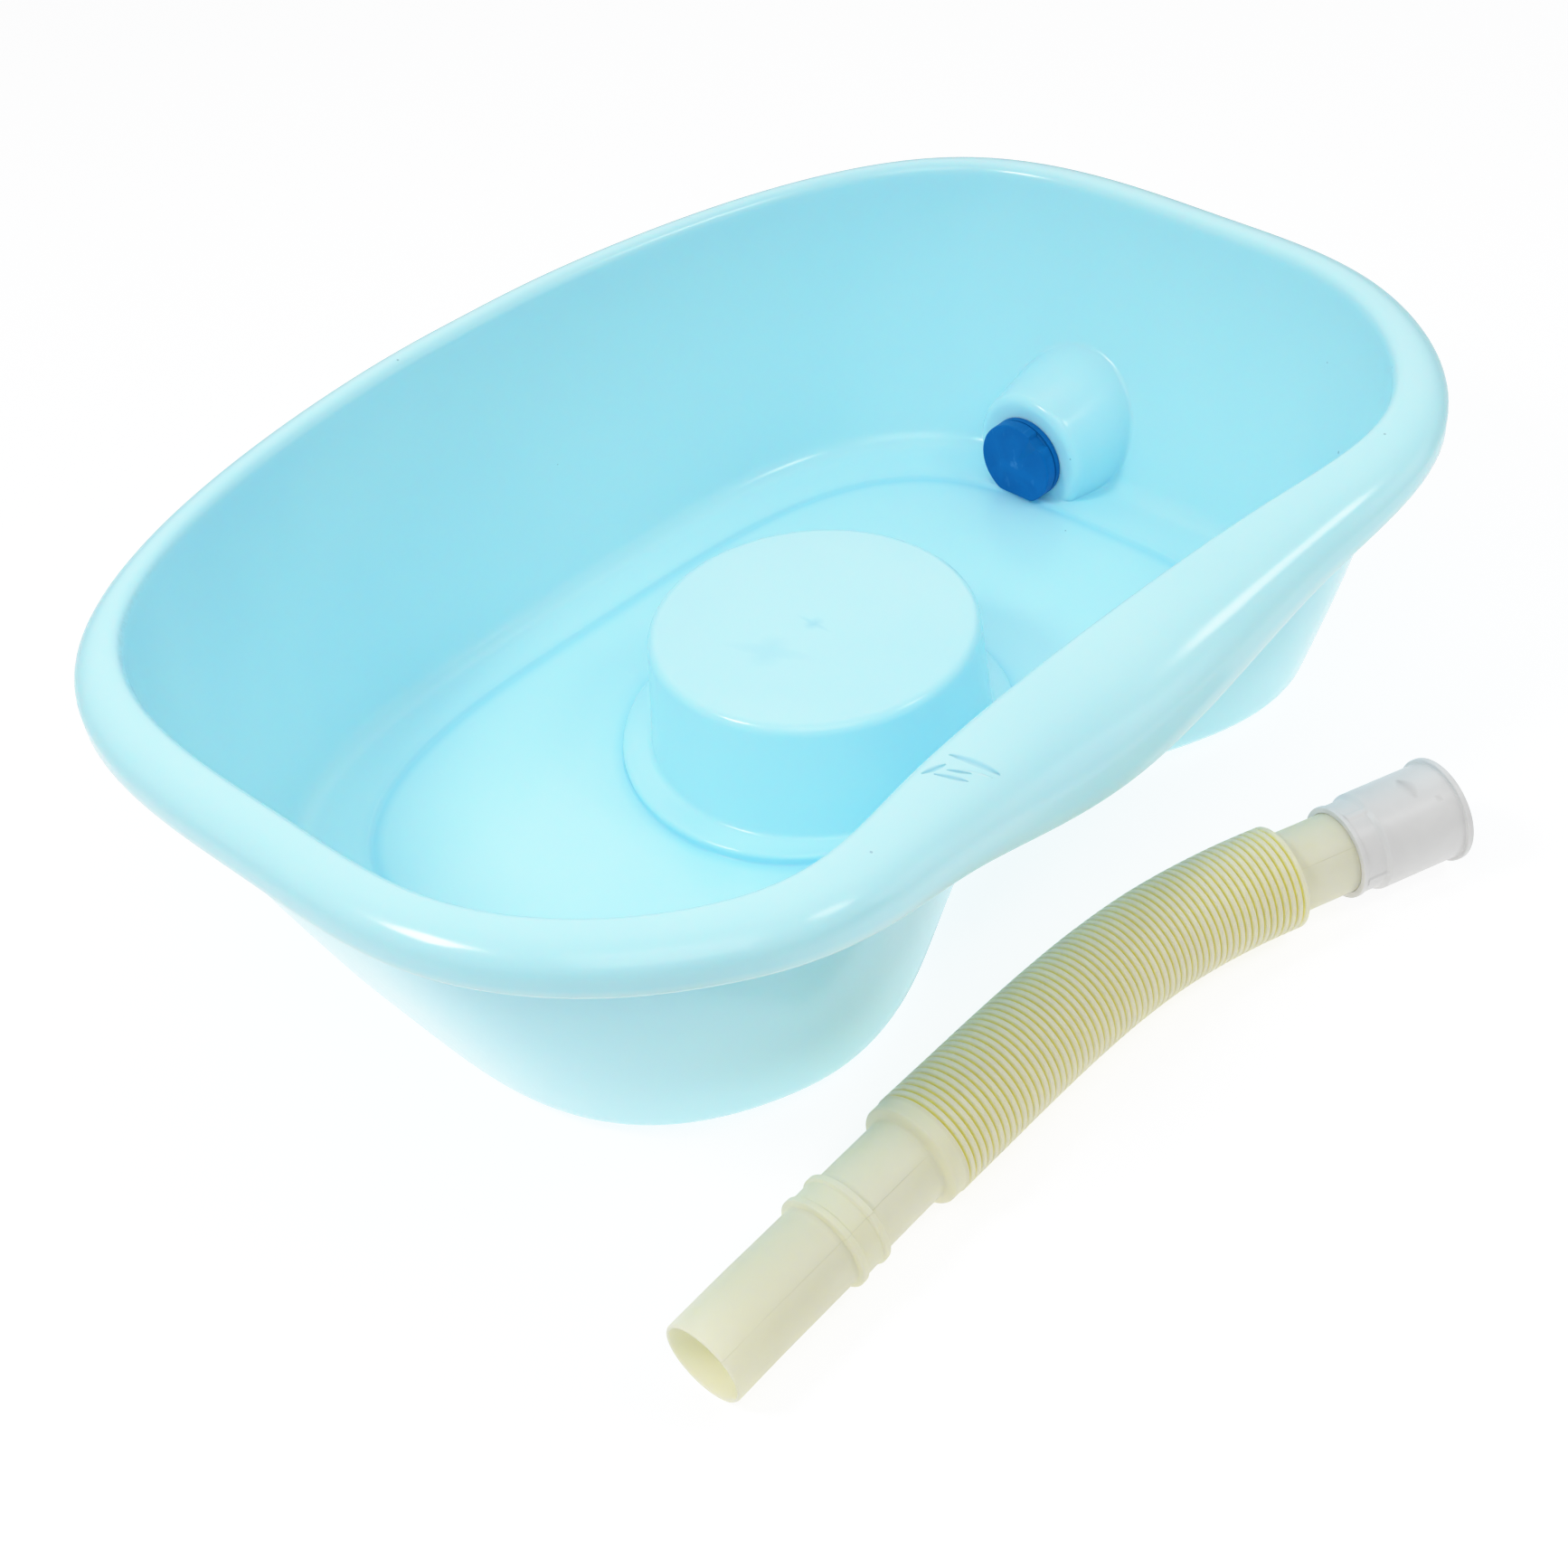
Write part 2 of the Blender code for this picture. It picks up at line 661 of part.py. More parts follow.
def hose_stations(route):
    """Radius at each place along the hose: cuff, beads and their band, root, collar, ribs, second cuff."""
    slope = 0.25 * BEAD_WIDTH
    stations = [(0.0, CUFF_RADIUS)]
    first = (FIRST_BEAD, CUFF_RADIUS, BEAD_BAND_RADIUS)
    second = (SECOND_BEAD, BEAD_BAND_RADIUS, CUFF_ROOT_RADIUS)
    for place, before, after in (first, second):
        stations += [
            (place, before),
            (place + slope, BEAD_RADIUS),
            (place + BEAD_WIDTH - slope, BEAD_RADIUS),
            (place + BEAD_WIDTH, after),
        ]
    ribs_start = COLLAR_START + COLLAR_LENGTH
    stations += [
        (COLLAR_START, CUFF_ROOT_RADIUS),
        (COLLAR_START + 0.5 * (COLLAR_RADIUS - CUFF_ROOT_RADIUS), COLLAR_RADIUS),
        (ribs_start, COLLAR_RADIUS),
    ]
    groove = GROOVE_SHARE * RIB_PITCH
    for rib in range(RIB_COUNT):
        place = ribs_start + groove + rib * RIB_PITCH
        stations += [(place, GROOVE_RADIUS), (place + 0.5 * RIB_PITCH, RIB_RADIUS)]
    last = ribs_start + groove + RIB_COUNT * RIB_PITCH
    stations += [(last, CUFF_RADIUS), (route.length, CUFF_RADIUS)]
    return stations


def build_hose(parts, cutters, finish):
    route = Route(HOSE_ROUTE)
    hose = tube("drain_hose", route, hose_stations(route), parts, finish)
    runs = int(route.length / BORE_POINT_SPACING)
    places = np.linspace(-CUT_OVERRUN, route.length + CUT_OVERRUN, runs)
    widening = GROOVE_RADIUS - CUFF_RADIUS
    ribs_start = COLLAR_START + COLLAR_LENGTH
    ribs_end = ribs_start + RIB_COUNT * RIB_PITCH
    ends = np.array([ribs_start, ribs_start + widening, ribs_end - widening, ribs_end])
    places = np.sort(np.concatenate([places, ends]))
    radii = HOSE_BORE_RADIUS + widening * np.interp(places, ends, [0.0, 1.0, 1.0, 0.0])
    stations = [(float(place), float(radius)) for place, radius in zip(places, radii)]
    bore = tube("hose_bore", route, stations, cutters)
    as_cutter(bore)
    boolean(hose, bore, "DIFFERENCE")
    return hose, route


def build_adapter(route, parts, cutters, finish):
    """A turned sleeve on the second cuff: z = 0 is its lipped end, z grows away from the hose."""
    socket_bore = CUFF_RADIUS + FIT_GAP
    mouth_bore = SPOUT_RADIUS + FIT_GAP
    shoulder = ADAPTER_SOCKET_LENGTH
    chamfer_end = shoulder + ADAPTER_CHAMFER
    flange_start = ADAPTER_LENGTH - ADAPTER_FLANGE_LENGTH
    stop = ADAPTER_GRIP + FIT_GAP
    profile = [
        (mouth_bore, ADAPTER_LENGTH),
        (ADAPTER_FLANGE_RADIUS, ADAPTER_LENGTH),
        (ADAPTER_FLANGE_RADIUS, flange_start),
        (ADAPTER_BODY_RADIUS, flange_start),
        (ADAPTER_BODY_RADIUS, chamfer_end),
        (ADAPTER_SOCKET_RADIUS, shoulder),
        (ADAPTER_SOCKET_RADIUS, ADAPTER_LIP_LENGTH),
        (ADAPTER_SOCKET_RADIUS + ADAPTER_LIP, ADAPTER_LIP_LENGTH),
        (ADAPTER_SOCKET_RADIUS + ADAPTER_LIP, 0.0),
        (socket_bore, 0.0),
        (socket_bore, stop),
        (HOSE_BORE_RADIUS, stop),
        (HOSE_BORE_RADIUS, stop + ADAPTER_CHAMFER),
        (mouth_bore, stop + ADAPTER_CHAMFER + mouth_bore - HOSE_BORE_RADIUS),
    ]
    adapter = turned("hose_adapter", profile, parts, finish, closed=True)
    heading = Vector(route.heading(route.length))
    place = Vector(route.at(route.length - ADAPTER_GRIP))
    adapter.rotation_mode = "QUATERNION"
    adapter.rotation_quaternion = heading.to_track_quat("Z", "Y")
    adapter.location = place
    for rib in range(ADAPTER_RIBS):
        bpy.ops.mesh.primitive_cube_add(size=1.0)
        bar = bpy.context.object
        bar.name = "adapter_rib_%02d" % rib
        move_to(bar, cutters)
        angle = ADAPTER_RIB_TURN + 2.0 * math.pi * rib / ADAPTER_RIBS
        middle = 0.5 * (ADAPTER_LIP_LENGTH + shoulder)
        radius = ADAPTER_SOCKET_RADIUS
        bar.parent = adapter
        bar.location = (radius * math.cos(angle), radius * math.sin(angle), middle)
        bar.rotation_euler = (0.0, 0.0, angle)
        bar.scale = (2.0 * ADAPTER_RIB_HEIGHT, ADAPTER_RIB_WIDTH, shoulder)
        as_cutter(bar)
        boolean(adapter, bar, "UNION")
    return adapter


def build():
    clear_scene()
    parts = new_collection("portable_shampoo_basin")
    cutters = new_collection("cutters")
    pale_blue = material("tub_pale_blue", (0.47, 0.83, 0.92), 0.28)
    deep_blue = material("plug_blue", (0.005, 0.17, 0.48), 0.35)
    cream = material("hose_cream", (0.78, 0.76, 0.62), 0.40, 0.2)
    milky = material("adapter_milky", (0.86, 0.86, 0.86), 0.35, 0.3)
    build_tub(parts, cutters, pale_blue)
    build_plug(parts, cutters, deep_blue)
    route = build_hose(parts, cutters, cream)[1]
    build_adapter(route, parts, cutters, milky)


build()
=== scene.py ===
"""Looks of a portable shampoo basin: moulded tub, drain plug, and the ribbed drain hose with its adapter.

All lengths are in metres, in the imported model's frame: Z up, X towards the drain end, the neck rest at -Y.
"""

import math

import bmesh
import bpy
import numpy as np
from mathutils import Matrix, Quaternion, Vector


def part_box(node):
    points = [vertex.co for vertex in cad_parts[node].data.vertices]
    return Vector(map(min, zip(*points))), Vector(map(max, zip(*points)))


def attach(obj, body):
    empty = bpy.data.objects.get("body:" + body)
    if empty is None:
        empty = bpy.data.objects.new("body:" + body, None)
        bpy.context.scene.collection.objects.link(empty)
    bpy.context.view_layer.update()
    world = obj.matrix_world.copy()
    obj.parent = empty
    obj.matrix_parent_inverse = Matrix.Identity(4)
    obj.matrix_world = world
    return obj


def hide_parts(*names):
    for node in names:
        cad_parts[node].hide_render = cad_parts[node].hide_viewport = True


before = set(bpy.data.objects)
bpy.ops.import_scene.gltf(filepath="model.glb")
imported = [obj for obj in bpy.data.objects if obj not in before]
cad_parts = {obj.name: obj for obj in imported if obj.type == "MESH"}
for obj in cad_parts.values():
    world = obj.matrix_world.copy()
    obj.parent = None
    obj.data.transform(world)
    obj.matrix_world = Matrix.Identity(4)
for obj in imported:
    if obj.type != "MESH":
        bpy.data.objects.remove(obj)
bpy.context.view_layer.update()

# The camera stands in front of the tub's left half and looks down into it. It is held a little askew,
# and its place, aim and lens are those that the photograph was taken with.
camera_place = Vector((-0.5077, -0.5559, 0.6178))
camera_aim = Vector((-0.0345, -0.0259, 0.0))
camera_roll = math.radians(-6.19)
camera = bpy.data.objects.new("camera", bpy.data.cameras.new("camera"))
bpy.context.scene.collection.objects.link(camera)
camera.data.lens = 49.51
camera.data.sensor_width = 36.0
camera.location = camera_place
camera.rotation_mode = "QUATERNION"
level = (camera_aim - camera_place).to_track_quat("-Z", "Y")
camera.rotation_quaternion = level @ Quaternion((0.0, 0.0, 1.0), camera_roll)
bpy.context.scene.camera = camera
# Its film lifts the middle tones a little and draws the light ones together, as (light, tone) points.
film = bpy.context.scene.view_settings
film.view_transform = "Standard"
film.use_curve_mapping = True
film.curve_mapping.clip_max_x = 2.0
film_curve = film.curve_mapping.curves[3]
film_curve.points[1].location = (1.15, 1.0)
for light, tone in ((0.15, 0.165), (0.3, 0.34), (0.5, 0.57), (0.7, 0.775), (0.9, 0.925), (1.05, 0.98)):
    film_curve.points.new(light, tone)
film.curve_mapping.update()


# Studio: a wide plain floor, nearly white, and soft square lights from the left, the right, the front and
# low down.
def add_mesh(name, points, faces):
    """A new object at the origin whose mesh has these points, one row each, and these faces."""
    mesh = bpy.data.meshes.new(name)
    mesh.from_pydata(np.asarray(points, dtype=float).tolist(), [], [tuple(face) for face in faces])
    mesh.update()
    item = bpy.data.objects.new(name, mesh)
    bpy.context.scene.collection.objects.link(item)
    return item


floor_half = 6.0
floor_corners = [(floor_half * x, floor_half * y, 0.0) for x, y in ((-1, -1), (1, -1), (1, 1), (-1, 1))]
floor = add_mesh("studio_floor", floor_corners, [(0, 1, 2, 3)])
floor_paint = bpy.data.materials.new("studio_white")
floor_paint.use_nodes = True
floor_shader = floor_paint.node_tree.nodes["Principled BSDF"]
floor_shader.inputs["Base Color"].default_value = (0.60, 0.60, 0.60, 1.0)
floor_shader.inputs["Roughness"].default_value = 0.9
floor_shader.inputs["Emission Color"].default_value = (1.0, 1.0, 1.0, 1.0)
floor.data.materials.append(floor_paint)

light_aim = Vector((0.0, 0.0, 0.05))
soft_lights = [
    ("left_softbox", (-0.97, 0.35, 1.23), 0.32, 6.2),
    ("right_softbox", (0.51, -0.89, 1.23), 0.28, 2.0),
    ("front_fill", (-0.60, -0.67, 1.35), 1.0, 4.8),
    ("low_fill", (0.75, -0.90, 0.30), 0.6, 1.1),
]
for name, light_place, light_width, power in soft_lights:
    light = bpy.data.lights.new(name, "AREA")
    light.shape = "SQUARE"
    light.size = light_width
    light.energy = power
    lamp = bpy.data.objects.new(name, light)
    bpy.context.scene.collection.objects.link(lamp)
    lamp.location = light_place
    lamp.rotation_mode = "QUATERNION"
    lamp.rotation_quaternion = (light_aim - Vector(light_place)).to_track_quat("-Z", "Y")


# Shading shared by the pieces: small builders for shader nodes, the fine unevenness that any moulded plastic
# has, and the mask of a straight mark between two points.
def linear(red, green, blue):
    """A screen colour, each part from 0 to 255, as the shader's linear colour."""
    tones = [part / 255.0 for part in (red, green, blue)]
    return (*(tone / 12.92 if tone <= 0.04045 else ((tone + 0.055) / 1.055) ** 2.4 for tone in tones), 1.0)


def feed(tree, node, sockets):
    """Each of these sockets of the node gets a value, or a link from another socket."""
    for name, value in sockets.items():
        if isinstance(value, bpy.types.NodeSocket):
            tree.links.new(value, node.inputs[name])
        else:
            node.inputs[name].default_value = value


def add_node(tree, kind, settings, sockets):
    """A node of that kind with its settings and sockets."""
    made = tree.nodes.new("ShaderNode" + kind)
    for name, value in settings.items():
        setattr(made, name, value)
    feed(tree, made, sockets)
    return made


def calculate(tree, operation, first, second=0.0, third=0.0, clamp=False):
    """The result of one sum on values or sockets."""
    settings = {"operation": operation, "use_clamp": clamp}
    return add_node(tree, "Math", settings, {0: first, 1: second, 2: third}).outputs[0]


def multiply(tree, first, second):
    """The product of two values or sockets."""
    return calculate(tree, "MULTIPLY", first, second)


def vector_sum(tree, operation, sockets, result=0):
    """The result of one sum on vectors: a vector, or a number where the result is Value."""
    return add_node(tree, "VectorMath", {"operation": operation}, sockets).outputs[result]


def soft_range(tree, value, low, high):
    """0 where the value is at low, 1 where it is at high, with a soft start and end."""
    sockets = {"Value": value, "From Min": low, "From Max": high}
    return add_node(tree, "MapRange", {"interpolation_type": "SMOOTHSTEP"}, sockets).outputs["Result"]


def mix_colours(tree, share, first, second):
    """The first colour where the share is 0, going over to the second where it is 1."""
    sockets = {"Factor": share, 6: first, 7: second}
    return add_node(tree, "Mix", {"data_type": "RGBA"}, sockets).outputs[2]


def stain(tree, shade, mask, strength, colour):
    """The shade, going over by the strength to a screen colour where the mask is 1."""
    return mix_colours(tree, multiply(tree, mask, strength), shade, linear(*colour))


def mottle(tree, uneven, low, high, first, second):
    """From the first screen colour to the second, as the plastic's flow goes from low to high."""
    return mix_colours(tree, soft_range(tree, uneven["Flow"], low, high), linear(*first), linear(*second))


def read_attribute(tree, name):
    """The mesh's own marks of that name."""
    return add_node(tree, "Attribute", {"attribute_name": name}, {}).outputs["Fac"]


# Dome: pale, brighter with height and brightest towards the back right, so that the gloss has something
# soft to mirror. In the picture itself it is white all over.
world = bpy.data.worlds.new("studio")
world.use_nodes = True
bpy.context.scene.world = world
dome = world.node_tree
direction = add_node(dome, "TexCoord", {}, {}).outputs["Generated"]
dome_height = add_node(dome, "SeparateXYZ", {}, {"Vector": direction}).outputs["Z"]
dome_glow = calculate(dome, "MULTIPLY_ADD", soft_range(dome, dome_height, -0.05, 0.35), 0.31, 0.06)
towards_screen = vector_sum(dome, "DOT_PRODUCT", {0: direction, 1: (0.505, 0.561, 0.656)}, "Value")
dome_glow = calculate(dome, "MULTIPLY_ADD", soft_range(dome, towards_screen, 0.6, 0.95), 0.65, dome_glow)
seen = multiply(dome, add_node(dome, "LightPath", {}, {}).outputs["Is Camera Ray"], 1.12)
dome_glow = calculate(dome, "MAXIMUM", seen, dome_glow)
feed(dome, dome.nodes["Background"], {"Color": (0.97, 0.99, 1.0, 1.0), "Strength": dome_glow})

# The table glows under the tub and fades with distance. In the picture itself it glows all over.
table = floor_paint.node_tree
table_place = add_node(table, "TexCoord", {}, {}).outputs["Object"]
table_gap = vector_sum(table, "LENGTH", {0: table_place}, "Value")
table_glow = multiply(table, soft_range(table, table_gap, 0.75, 0.25), 0.6)
seen = multiply(table, add_node(table, "LightPath", {}, {}).outputs["Is Camera Ray"], 0.62)
feed(table, floor_shader, {"Emission Strength": calculate(table, "MAXIMUM", seen, table_glow)})


def new_group(name, inputs, outputs):
    """An empty group with float or vector sockets, and its two end nodes."""
    tree = bpy.data.node_groups.new(name, "ShaderNodeTree")
    for socket, kind in inputs:
        tree.interface.new_socket(socket, in_out="INPUT", socket_type=kind)
    for socket in outputs:
        tree.interface.new_socket(socket, in_out="OUTPUT", socket_type="NodeSocketFloat")
    return tree, tree.nodes.new("NodeGroupInput").outputs, tree.nodes.new("NodeGroupOutput").inputs


def add_noise(tree, place, scale, detail, distortion=0.0):
    """Soft noise between 0 and 1 over the place."""
    sockets = {"Vector": place, "Scale": scale, "Detail": detail, "Distortion": distortion}
    return add_node(tree, "TexNoise", {}, sockets).outputs["Fac"]


unevenness, given, handed = new_group(
    "moulded_unevenness",
    [("Position", "NodeSocketVector"), ("Flow Scale", "NodeSocketFloat"), ("Speck Scale", "NodeSocketFloat")],
    ["Flow", "Grain", "Specks", "Scuffs"],
)
unevenness.links.new(add_noise(unevenness, given[0], given[1], 3.0, 0.6), handed["Flow"])
unevenness.links.new(add_noise(unevenness, given[0], 420.0, 2.0), handed["Grain"])
cells = add_node(unevenness, "TexVoronoi", {"feature": "F1"}, {"Vector": given[0], "Scale": given[2]})
speck_size = add_node(unevenness, "TexWhiteNoise", {}, {"Vector": cells.outputs["Position"]}).outputs["Value"]
speck_limit = multiply(unevenness, soft_range(unevenness, speck_size, 0.9, 1.0), 0.05)
specks = calculate(unevenness, "LESS_THAN", cells.outputs["Distance"], speck_limit)
unevenness.links.new(specks, handed["Specks"])
stretch = {"Vector": given[0], "Rotation": (0.4, 0.2, 0.9), "Scale": (4.0, 160.0, 60.0)}
stretched = add_node(unevenness, "Mapping", {}, stretch).outputs[0]
scratches = soft_range(unevenness, add_noise(unevenness, stretched, 2.0, 1.0), 0.66, 0.74)
patches = soft_range(unevenness, add_noise(unevenness, given[0], 9.0, 1.0), 0.50, 0.62)
unevenness.links.new(multiply(unevenness, scratches, patches), handed["Scuffs"])

mark_inputs = [(name, "NodeSocketVector") for name in ("Position", "Start", "End")]
straight_mark, given, handed = new_group(
    "straight_mark", mark_inputs + [("Half Width", "NodeSocketFloat")], ["Mask"]
)
run = vector_sum(straight_mark, "SUBTRACT", {0: given["End"], 1: given["Start"]})
reach = vector_sum(straight_mark, "SUBTRACT", {0: given["Position"], 1: given["Start"]})
along = vector_sum(straight_mark, "DOT_PRODUCT", {0: reach, 1: run}, "Value")
whole = vector_sum(straight_mark, "DOT_PRODUCT", {0: run, 1: run}, "Value")
share = calculate(straight_mark, "DIVIDE", along, whole, clamp=True)
nearest = vector_sum(straight_mark, "SCALE", {0: run, "Scale": share})
gap = vector_sum(straight_mark, "DISTANCE", {0: reach, 1: nearest}, "Value")
taper = calculate(straight_mark, "SINE", calculate(straight_mark, "MULTIPLY_ADD", share, 2.4, 0.37))
width = multiply(straight_mark, given["Half Width"], taper)
off = calculate(straight_mark, "DIVIDE", gap, width)
straight_mark.links.new(calculate(straight_mark, "SUBTRACT", 1.0, off, clamp=True), handed["Mask"])


def start_plastic(name, flow_scale, speck_scale):
    """A new plastic material: its tree, main shader, the object's own coordinates and their unevenness."""
    finish = bpy.data.materials.new(name)
    finish.use_nodes = True
    tree = finish.node_tree
    place = add_node(tree, "TexCoord", {}, {}).outputs["Object"]
    sockets = {"Position": place, "Flow Scale": flow_scale, "Speck Scale": speck_scale}
    uneven = add_node(tree, "Group", {"node_tree": unevenness}, sockets)
    return finish, tree, tree.nodes["Principled BSDF"], place, uneven.outputs


def add_mark(tree, place, start, end, half_width):
    """The mask of a straight mark from start to end, in the object's own coordinates."""
    sockets = {"Position": place, "Start": start, "End": end, "Half Width": half_width}
    return add_node(tree, "Group", {"node_tree": straight_mark}, sockets).outputs["Mask"]


def let_light_through(tree, shader, colour, share):
    """A share of the surface passes light on, as a thin milky wall does."""
    passing = add_node(tree, "BsdfTranslucent", {}, {"Color": colour}).outputs["BSDF"]
    blend = add_node(tree, "MixShader", {}, {0: share, 1: shader.outputs["BSDF"], 2: passing})
    feed(tree, tree.nodes["Material Output"], {"Surface": blend.outputs[0]})


def add_bump(tree, shader, height, distance):
    """Gives the shader a bump of that height, in metres where the height is 1."""
    bump = add_node(tree, "Bump", {}, {"Height": height, "Distance": distance, "Strength": 1.0})
    feed(tree, shader, {"Normal": bump.outputs["Normal"]})


def soft_relief(tree, uneven):
    """Height of the uneven skin of the hose and its adapter: slow flow with a little grain."""
    return calculate(tree, "MULTIPLY_ADD", uneven["Flow"], 0.8, multiply(tree, uneven["Grain"], 0.08))


# Tub: one injection moulding of glossy pale blue plastic, about 3 mm thick. Its plan curves are read by the
# share of the way round from the middle of the front, and the drain end is at a quarter of the way.
tub_low, tub_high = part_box("basin_shell")
wall = 0.003
tub_length = tub_high[0] - tub_low[0]
tub_height = tub_high[2]
rim_width_at_ends, rim_width_at_back, rim_width_at_front = 0.0215, 0.0160, 0.0232
rim_skirt = 0.0175
rim_crest_inset = 0.005
rim_rounding = 0.005
rim_curved_share = 0.6
rim_back_length = 0.2077
rim_plan_shares = [
    (0.0, -0.623),
    (0.412, -0.699),
    (0.696, -0.739),
    (0.946, -0.439),
    (1.0, 0.0),
    (0.908, 0.659),
    (0.275, 0.980),
    (0.0, 1.0),
]
neck_half_width = 0.211
neck_dip = 0.0266
neck_width = 0.044
neck_skirt = 0.0384
band_half_length = 0.220
band_back = 0.163
band_front = 0.139
band_notch = 0.0520
panel_half_length = 0.197
panel_back = 0.1435
panel_front = 0.122
panel_notch = 0.0390
notch_half_width = 0.155
plan_exponent = 3.5
band_rise = 0.0015
step_run = 0.0030
foot_fillet = 0.012
pedestal_height = 0.061
pedestal_top_radius = 0.072
pedestal_foot_radius = 0.076
pedestal_shoulder = 0.005
pedestal_fillet = 0.0025
pedestal_y = 0.0035
plinth_height = 0.005
plinth_radius = 0.0895
plinth_front_trim = 0.0060
plinth_edge = 0.0022
gate_radius = 0.0035
gate_depth = 0.0004
plan_samples = 2400
corner_reach = 0.0055
corner_share_limit = 0.4


def between(first, second, share):
    """The point that lies a share of the way from the first to the second."""
    return first + (second - first) * share


def parts(count):
    """Even shares after 0, up to 1."""
    return np.linspace(0.0, 1.0, count)[1:]


def quarter_turn(count):
    """Even angles from 0 to a quarter turn."""
    return np.linspace(0.0, 0.5 * math.pi, count)


def notch_weight(x, y, half_width):
    """1 at the middle of the front, falling as a squared cosine to 0 at the half width, and 0 at the back."""
    share = np.clip(np.abs(x) / half_width, 0.0, 1.0)
    return np.where(y < 0.0, np.cos(0.5 * np.pi * share) ** 2, 0.0)


def round_box(half_length, back, front, exponent, notch=0.0, middle=0.0):
    """Plan of a box with rounded corners: |x/a| and |y/b| to one power add up to 1. A notch draws in its
    front."""
    angle = np.linspace(0.0, 2.0 * np.pi, plan_samples + 1)
    across = np.sin(angle)
    along = -np.cos(angle)
    x = half_length * np.sign(across) * np.abs(across) ** (2.0 / exponent)
    y = np.where(along > 0.0, back, front) * np.sign(along) * np.abs(along) ** (2.0 / exponent)
    return x, y + notch * notch_weight(x, y, notch_half_width) + middle


def smooth_loop(knots):
    """A closed cubic spline through knots, whose parameter grows by the root of the distance between them."""
    knots = np.array(knots)
    count = len(knots)
    after = np.roll(knots, -1, axis=0)
    gap = np.sqrt(np.linalg.norm(after - knots, axis=1))
    slope = (after - knots) / gap[:, None]
    system = np.diag(2.0 * (gap + np.roll(gap, 1)))
    system += np.roll(np.diag(gap), 1, axis=1) + np.roll(np.diag(np.roll(gap, 1)), -1, axis=1)
    bend = np.linalg.solve(system, 6.0 * (slope - np.roll(slope, 1, axis=0)))
    right = np.linspace(0.0, 1.0, plan_samples // count, endpoint=False)[None, :, None]
    left = 1.0 - right
    first, second = knots[:, None], after[:, None]
    first_bend, second_bend = bend[:, None], np.roll(bend, -1, axis=0)[:, None]
    curved = (left ** 3 - left) * first_bend + (right ** 3 - right) * second_bend
    loop = left * first + right * second + curved * gap[:, None, None] ** 2 / 6.0
    loop = np.vstack([loop.reshape(-1, 2), knots[:1]])
    return loop[:, 0], loop[:, 1]


class Plan:
    """A closed plan curve, read by the share of the way round it from the middle of the front."""

    def __init__(self, x, y):
        way = np.concatenate([[0.0], np.cumsum(np.hypot(np.diff(x), np.diff(y)))])
        self.way = way / way[-1]
        self.x, self.y = x, y

    def at(self, share):
        share = np.mod(share, 1.0)
        return np.interp(share, self.way, self.x), np.interp(share, self.way, self.y)

    def ring(self, share, outward, height):
        """Each point moved out along the curve's normal, the chord's left-hand side, and given a height."""
        reach = 0.003
        x, y = self.at(share)
        x_after, y_after = self.at(share + reach)
        x_before, y_before = self.at(share - reach)
        run_x, run_y = x_after - x_before, y_after - y_before
        length = np.hypot(run_x, run_y)
        x = x + run_y / length * outward
        y = y - run_x / length * outward
        return np.stack(np.broadcast_arrays(x, y, height), axis=-1)


rim_half_length = 0.5 * tub_length - rim_width_at_ends
rim_right = [(x * rim_half_length, y * rim_back_length) for x, y in rim_plan_shares]
rim_left = [(-x, y) for x, y in reversed(rim_right[1:-1])]
rim_x, rim_y = smooth_loop(rim_right + rim_left)
rim_plan = Plan(rim_x * rim_half_length / rim_x.max(), rim_y)
band_plan = Plan(*round_box(band_half_length, band_back, band_front, plan_exponent, band_notch))
panel_plan = Plan(*round_box(panel_half_length, panel_back, panel_front, plan_exponent, panel_notch))


def circle_plan(radius, front_trim=0.0):
    """A circle about the pedestal's axis, with its front half drawn in by the trim."""
    return Plan(*round_box(radius, radius, radius - front_trim, 2.0, middle=pedestal_y))


def rim_sizes(share):
    """Crest height, width and skirt of the rim: each goes over to the neck rest's by the notch weight."""
    x, y = rim_plan.at(share)
    weight = notch_weight(x, y, neck_half_width)
    ring = rim_plan.ring(share, 1.0, 0.0) - rim_plan.ring(share, 0.0, 0.0)
    to_back = np.clip(ring[..., 1], 0.0, 1.0) ** 2
    to_front = np.clip(-ring[..., 1], 0.0, 1.0) ** 2
    width = rim_width_at_ends + (rim_width_at_back - rim_width_at_ends) * to_back
    width = width + (rim_width_at_front - rim_width_at_ends) * to_front
    crest = tub_height - neck_dip * weight
    return crest, between(width, neck_width, weight), between(rim_skirt, neck_skirt, weight)


def rim_skin(share, level, depth):
    """The rim, sunk by depth: levels 0 to 1 turn a quarter ellipse up to the crest, 1 to 2 another down its
    outside, 2 to 3 drop straight down the skirt, and 3 to 4 turn half round its lower edge."""
    crest, width, skirt = rim_sizes(share)
    if level <= 1.0:
        turn = 0.5 * math.pi * level
        outward = rim_crest_inset - (rim_crest_inset - depth) * math.cos(turn)
        return rim_plan.ring(share, outward, crest - rim_rounding + (rim_rounding - depth) * math.sin(turn))
    curved = rim_curved_share * skirt
    if level <= 2.0:
        turn = 0.5 * math.pi * (level - 1.0)
        outward = rim_crest_inset + (width - depth - rim_crest_inset) * math.sin(turn)
        return rim_plan.ring(share, outward, crest - depth - (curved - depth) * (1.0 - math.cos(turn)))
    half = 0.5 * wall
    if level <= 3.0:
        return rim_plan.ring(share, width - depth, crest - between(curved, skirt - half, level - 2.0))
    turn = math.pi * (level - 3.0)
    outward = width - half + half * math.cos(turn)
    return rim_plan.ring(share, outward, crest - skirt + half - half * math.sin(turn))


